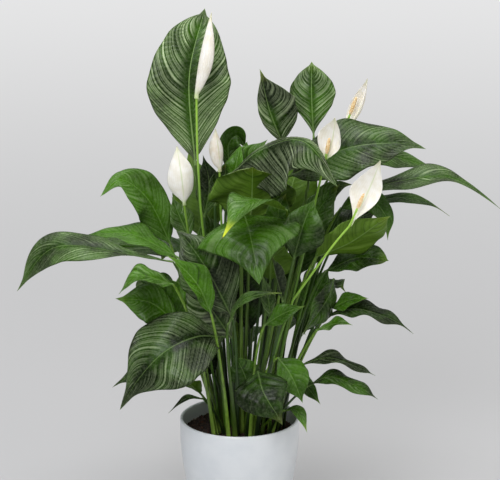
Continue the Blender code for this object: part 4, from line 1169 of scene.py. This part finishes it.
def spadix_tree():
    """Geometry Nodes: florets set in a spiral round a tapering core, as they pack on the real spike."""
    tree, given = new_growth("spadix_florets", {
        "Source": "Geometry", "Length": "Float", "Radius": "Float", "Florets": "Int", "Material": "Material",
    })
    length, thickness, florets = given["Length"], given["Radius"], given["Florets"]
    row = add(tree, "GeometryNodeMeshLine", inputs={"Count": florets, "Offset": (0, 0, 0)}, mode="OFFSET")
    index = add(tree, "GeometryNodeInputIndex")
    share = add(tree, "over", add(tree, "plus", index, 0.5), florets)
    angle = add(tree, "times", index, FLORET_TURN)
    # the core's radius: a quick round shoulder at each end and a slight taper upwards
    shoulder = add(tree, "power", add(tree, "sine", add(tree, "times", share, math.pi)), 0.35)
    taper = add(tree, "minus", 1.0, add(tree, "times", share, 0.30))
    radius = add(tree, "times", thickness, add(tree, "times", shoulder, taper))
    x = add(tree, "times", radius, add(tree, "cosine", angle))
    y = add(tree, "times", radius, add(tree, "sine", angle))
    spot = add(tree, "join", x, y, add(tree, "times", share, length))
    points = add(tree, "GeometryNodeSetPosition", inputs={"Geometry": row, "Position": spot})
    bud = add(tree, "GeometryNodeMeshUVSphere", inputs={"Segments": 7, "Rings": 5, "Radius": 1.0})
    size = add(tree, "times", thickness, 0.30)
    laid = add(tree, "GeometryNodeInstanceOnPoints", inputs={
        "Points": points, "Instance": bud, "Scale": size,
    })
    core = add(tree, "GeometryNodeMeshUVSphere", inputs={"Segments": 20, "Rings": 16, "Radius": 1.0})
    middle = add(tree, "times", length, 0.5)
    girth = add(tree, "times", thickness, 0.90)
    core = add(tree, "GeometryNodeTransform", inputs={
        "Geometry": core, "Translation": add(tree, "join", 0.0, 0.0, middle),
        "Scale": add(tree, "join", girth, girth, middle),
    })
    both = add(tree, "GeometryNodeJoinGeometry", core)
    feed(both, {0: laid})  # its one socket takes both links
    return end_growth(tree, both, given["Material"], rounded=True)


def build_spadix(name, base, axis, length, tree, seed_object, material):
    """One spadix, grown upright at the origin and then stood on its stem."""
    values = {
        "Length": float(length), "Radius": SPADIX_RADIUS * 0.85, "Florets": int(length / FLORET_PITCH),
        "Material": material,
    }
    obj = grown(name + "_living", seed_object, tree, values)
    mesh = obj.data
    points = np.empty(len(mesh.vertices) * 3)
    mesh.vertices.foreach_get("co", points)
    side = unit(np.cross(axis, (0.3, 1.0, 0.2)))
    basis = np.stack([side, np.cross(axis, side), axis])
    points = points.reshape(-1, 3) @ basis + base + axis * GAP
    mesh.vertices.foreach_set("co", points.ravel())
    mesh.update()
    return place(obj, "spadix", name)


FLOWER_LOOKS = {
    "tall_bud": {"ribs": 13, "flare": 0.02, "phase": 0.1, "age": 0.10, "tail": 0.1},
    "left_flower": {"ribs": 15, "flare": 0.05, "phase": 0.4, "age": 0.0, "tail": 0.25},
    "small_bud": {"ribs": 9, "flare": 0.05, "phase": 0.7, "age": 0.35, "tail": 0.2},
    "high_flower": {"ribs": 13, "flare": 0.06, "phase": 0.2, "age": 0.25, "tail": 0.2},
    "middle_flower": {"ribs": 11, "flare": 0.05, "phase": 0.5, "age": 0.05, "tail": 0.1},
    "right_flower": {"ribs": 15, "flare": 0.06, "phase": 0.8, "age": 0.0, "tail": 0.5},
}


def build_flowers(feet):
    """The six flowers: stem, spathe and spadix of each."""
    stem_skin, tissue, florets = flower_stem_material(), spathe_material(), spadix_material()
    tree = spadix_tree()
    seed_object = bpy.data.objects.new("spadix_seed", bpy.data.meshes.new("spadix_seed"))
    for (name, points, tip, half, wrap, face, inside, spike), foot in zip(FLOWERS, feet):
        base, tip = np.array(points[-1]), np.array(tip)
        face = unit(np.array(face, float))
        lean = unit(unit(tip - base) + face * SPADIX_LEAN)
        end = base + lean * inside
        build_stem(name + "_stem", foot, points, end, stem_skin)
        build_spathe(name + "_spathe", base, tip, half, wrap, face, FLOWER_LOOKS[name], tissue)
        build_spadix(name + "_spadix", end, lean, spike, tree, seed_object, florets)
    bpy.data.objects.remove(seed_object)


# ---------------------------------------------------------------- stage, light and camera
CAMERA_PLACE = (0.021, -2.916, 1.291)
CAMERA_PITCH = math.radians(13.6)
CAMERA_LENS = 110.1
FLOOR_REACH = 90.0  # how far the floor runs out on each side


def build_stage():
    """A pale seamless floor that runs far out, and air that is as pale where it is seen above it."""
    verts = [(x * FLOOR_REACH, y * FLOOR_REACH, 0) for x, y in ((-1, -1), (1, -1), (1, 1), (-1, 1))]
    mesh = bpy.data.meshes.new("studio_floor")
    mesh.from_pydata(verts, [], [(0, 1, 2, 3)])
    mesh.materials.append(paper_material())
    floor = bpy.data.objects.new("studio_floor", mesh)
    bpy.context.scene.collection.objects.link(floor)
    world = bpy.data.worlds.new("studio_air")
    world.use_nodes = True
    tree = world.node_tree
    way = add(tree, "ShaderNodeTexCoord").outputs["Generated"]
    height = add(tree, "split", way).outputs[2]
    soft = add(tree, "ramp", height, 0.0, 0.9, 0.24, 0.60)
    seen = add(tree, "times", add(tree, "ShaderNodeLightPath").outputs["Is Camera Ray"], 0.91)
    feed(tree.nodes["Background"], {"Color": linear("#f2f3f5"), "Strength": add(tree, "most", soft, seen)})
    bpy.context.scene.world = world


def softbox(name, place_at, aim, width, height, power, colour):
    """A large rectangular light that points at a spot."""
    light = bpy.data.lights.new(name, "AREA")
    light.shape = "RECTANGLE"
    light.size = width
    light.size_y = height
    light.energy = power
    light.color = linear(colour)[:3]
    obj = bpy.data.objects.new(name, light)
    obj.location = place_at
    towards = Vector(np.array(aim) - np.array(place_at))
    obj.rotation_euler = towards.to_track_quat("-Z", "Y").to_euler()
    bpy.context.scene.collection.objects.link(obj)


def build_lights():
    """A main softbox high on the left, a warmer one on the right and one overhead."""
    middle = (0.0, 0.0, 0.6)
    softbox("main_light", (-0.9, -2.6, 2.5), middle, 1.3, 1.5, 62, "#fdfdff")
    softbox("right_light", (2.4, -1.2, 1.8), middle, 1.0, 1.4, 20, "#fffaf4")
    softbox("top_light", (-0.2, -0.3, 3.1), middle, 1.8, 1.4, 48, "#ffffff")


def build_camera():
    """A long lens about three metres away that looks slightly down."""
    camera = bpy.data.cameras.new("camera")
    camera.sensor_width = 36
    camera.lens = CAMERA_LENS
    obj = bpy.data.objects.new("camera", camera)
    obj.location = CAMERA_PLACE
    obj.rotation_euler = (math.pi / 2 - CAMERA_PITCH, 0.0, 0.0)
    bpy.context.scene.collection.objects.link(obj)
    bpy.context.scene.camera = obj


# ---------------------------------------------------------------- the whole object
def main():
    """Builds the whole scene."""
    bpy.context.scene.view_settings.view_transform = "Standard"
    build_camera()
    build_stage()
    build_lights()
    build_pot()
    build_soil_bits(build_soil())
    feet = feet_of([leaf[4][0] for leaf in LEAVES] + [flower[1][0] for flower in FLOWERS])
    extra = small_feet([leaf[4][0] for leaf in SMALL_LEAVES], feet)
    build_leaves(feet[: len(LEAVES)] + extra)
    build_flowers(feet[len(LEAVES) :])


main()
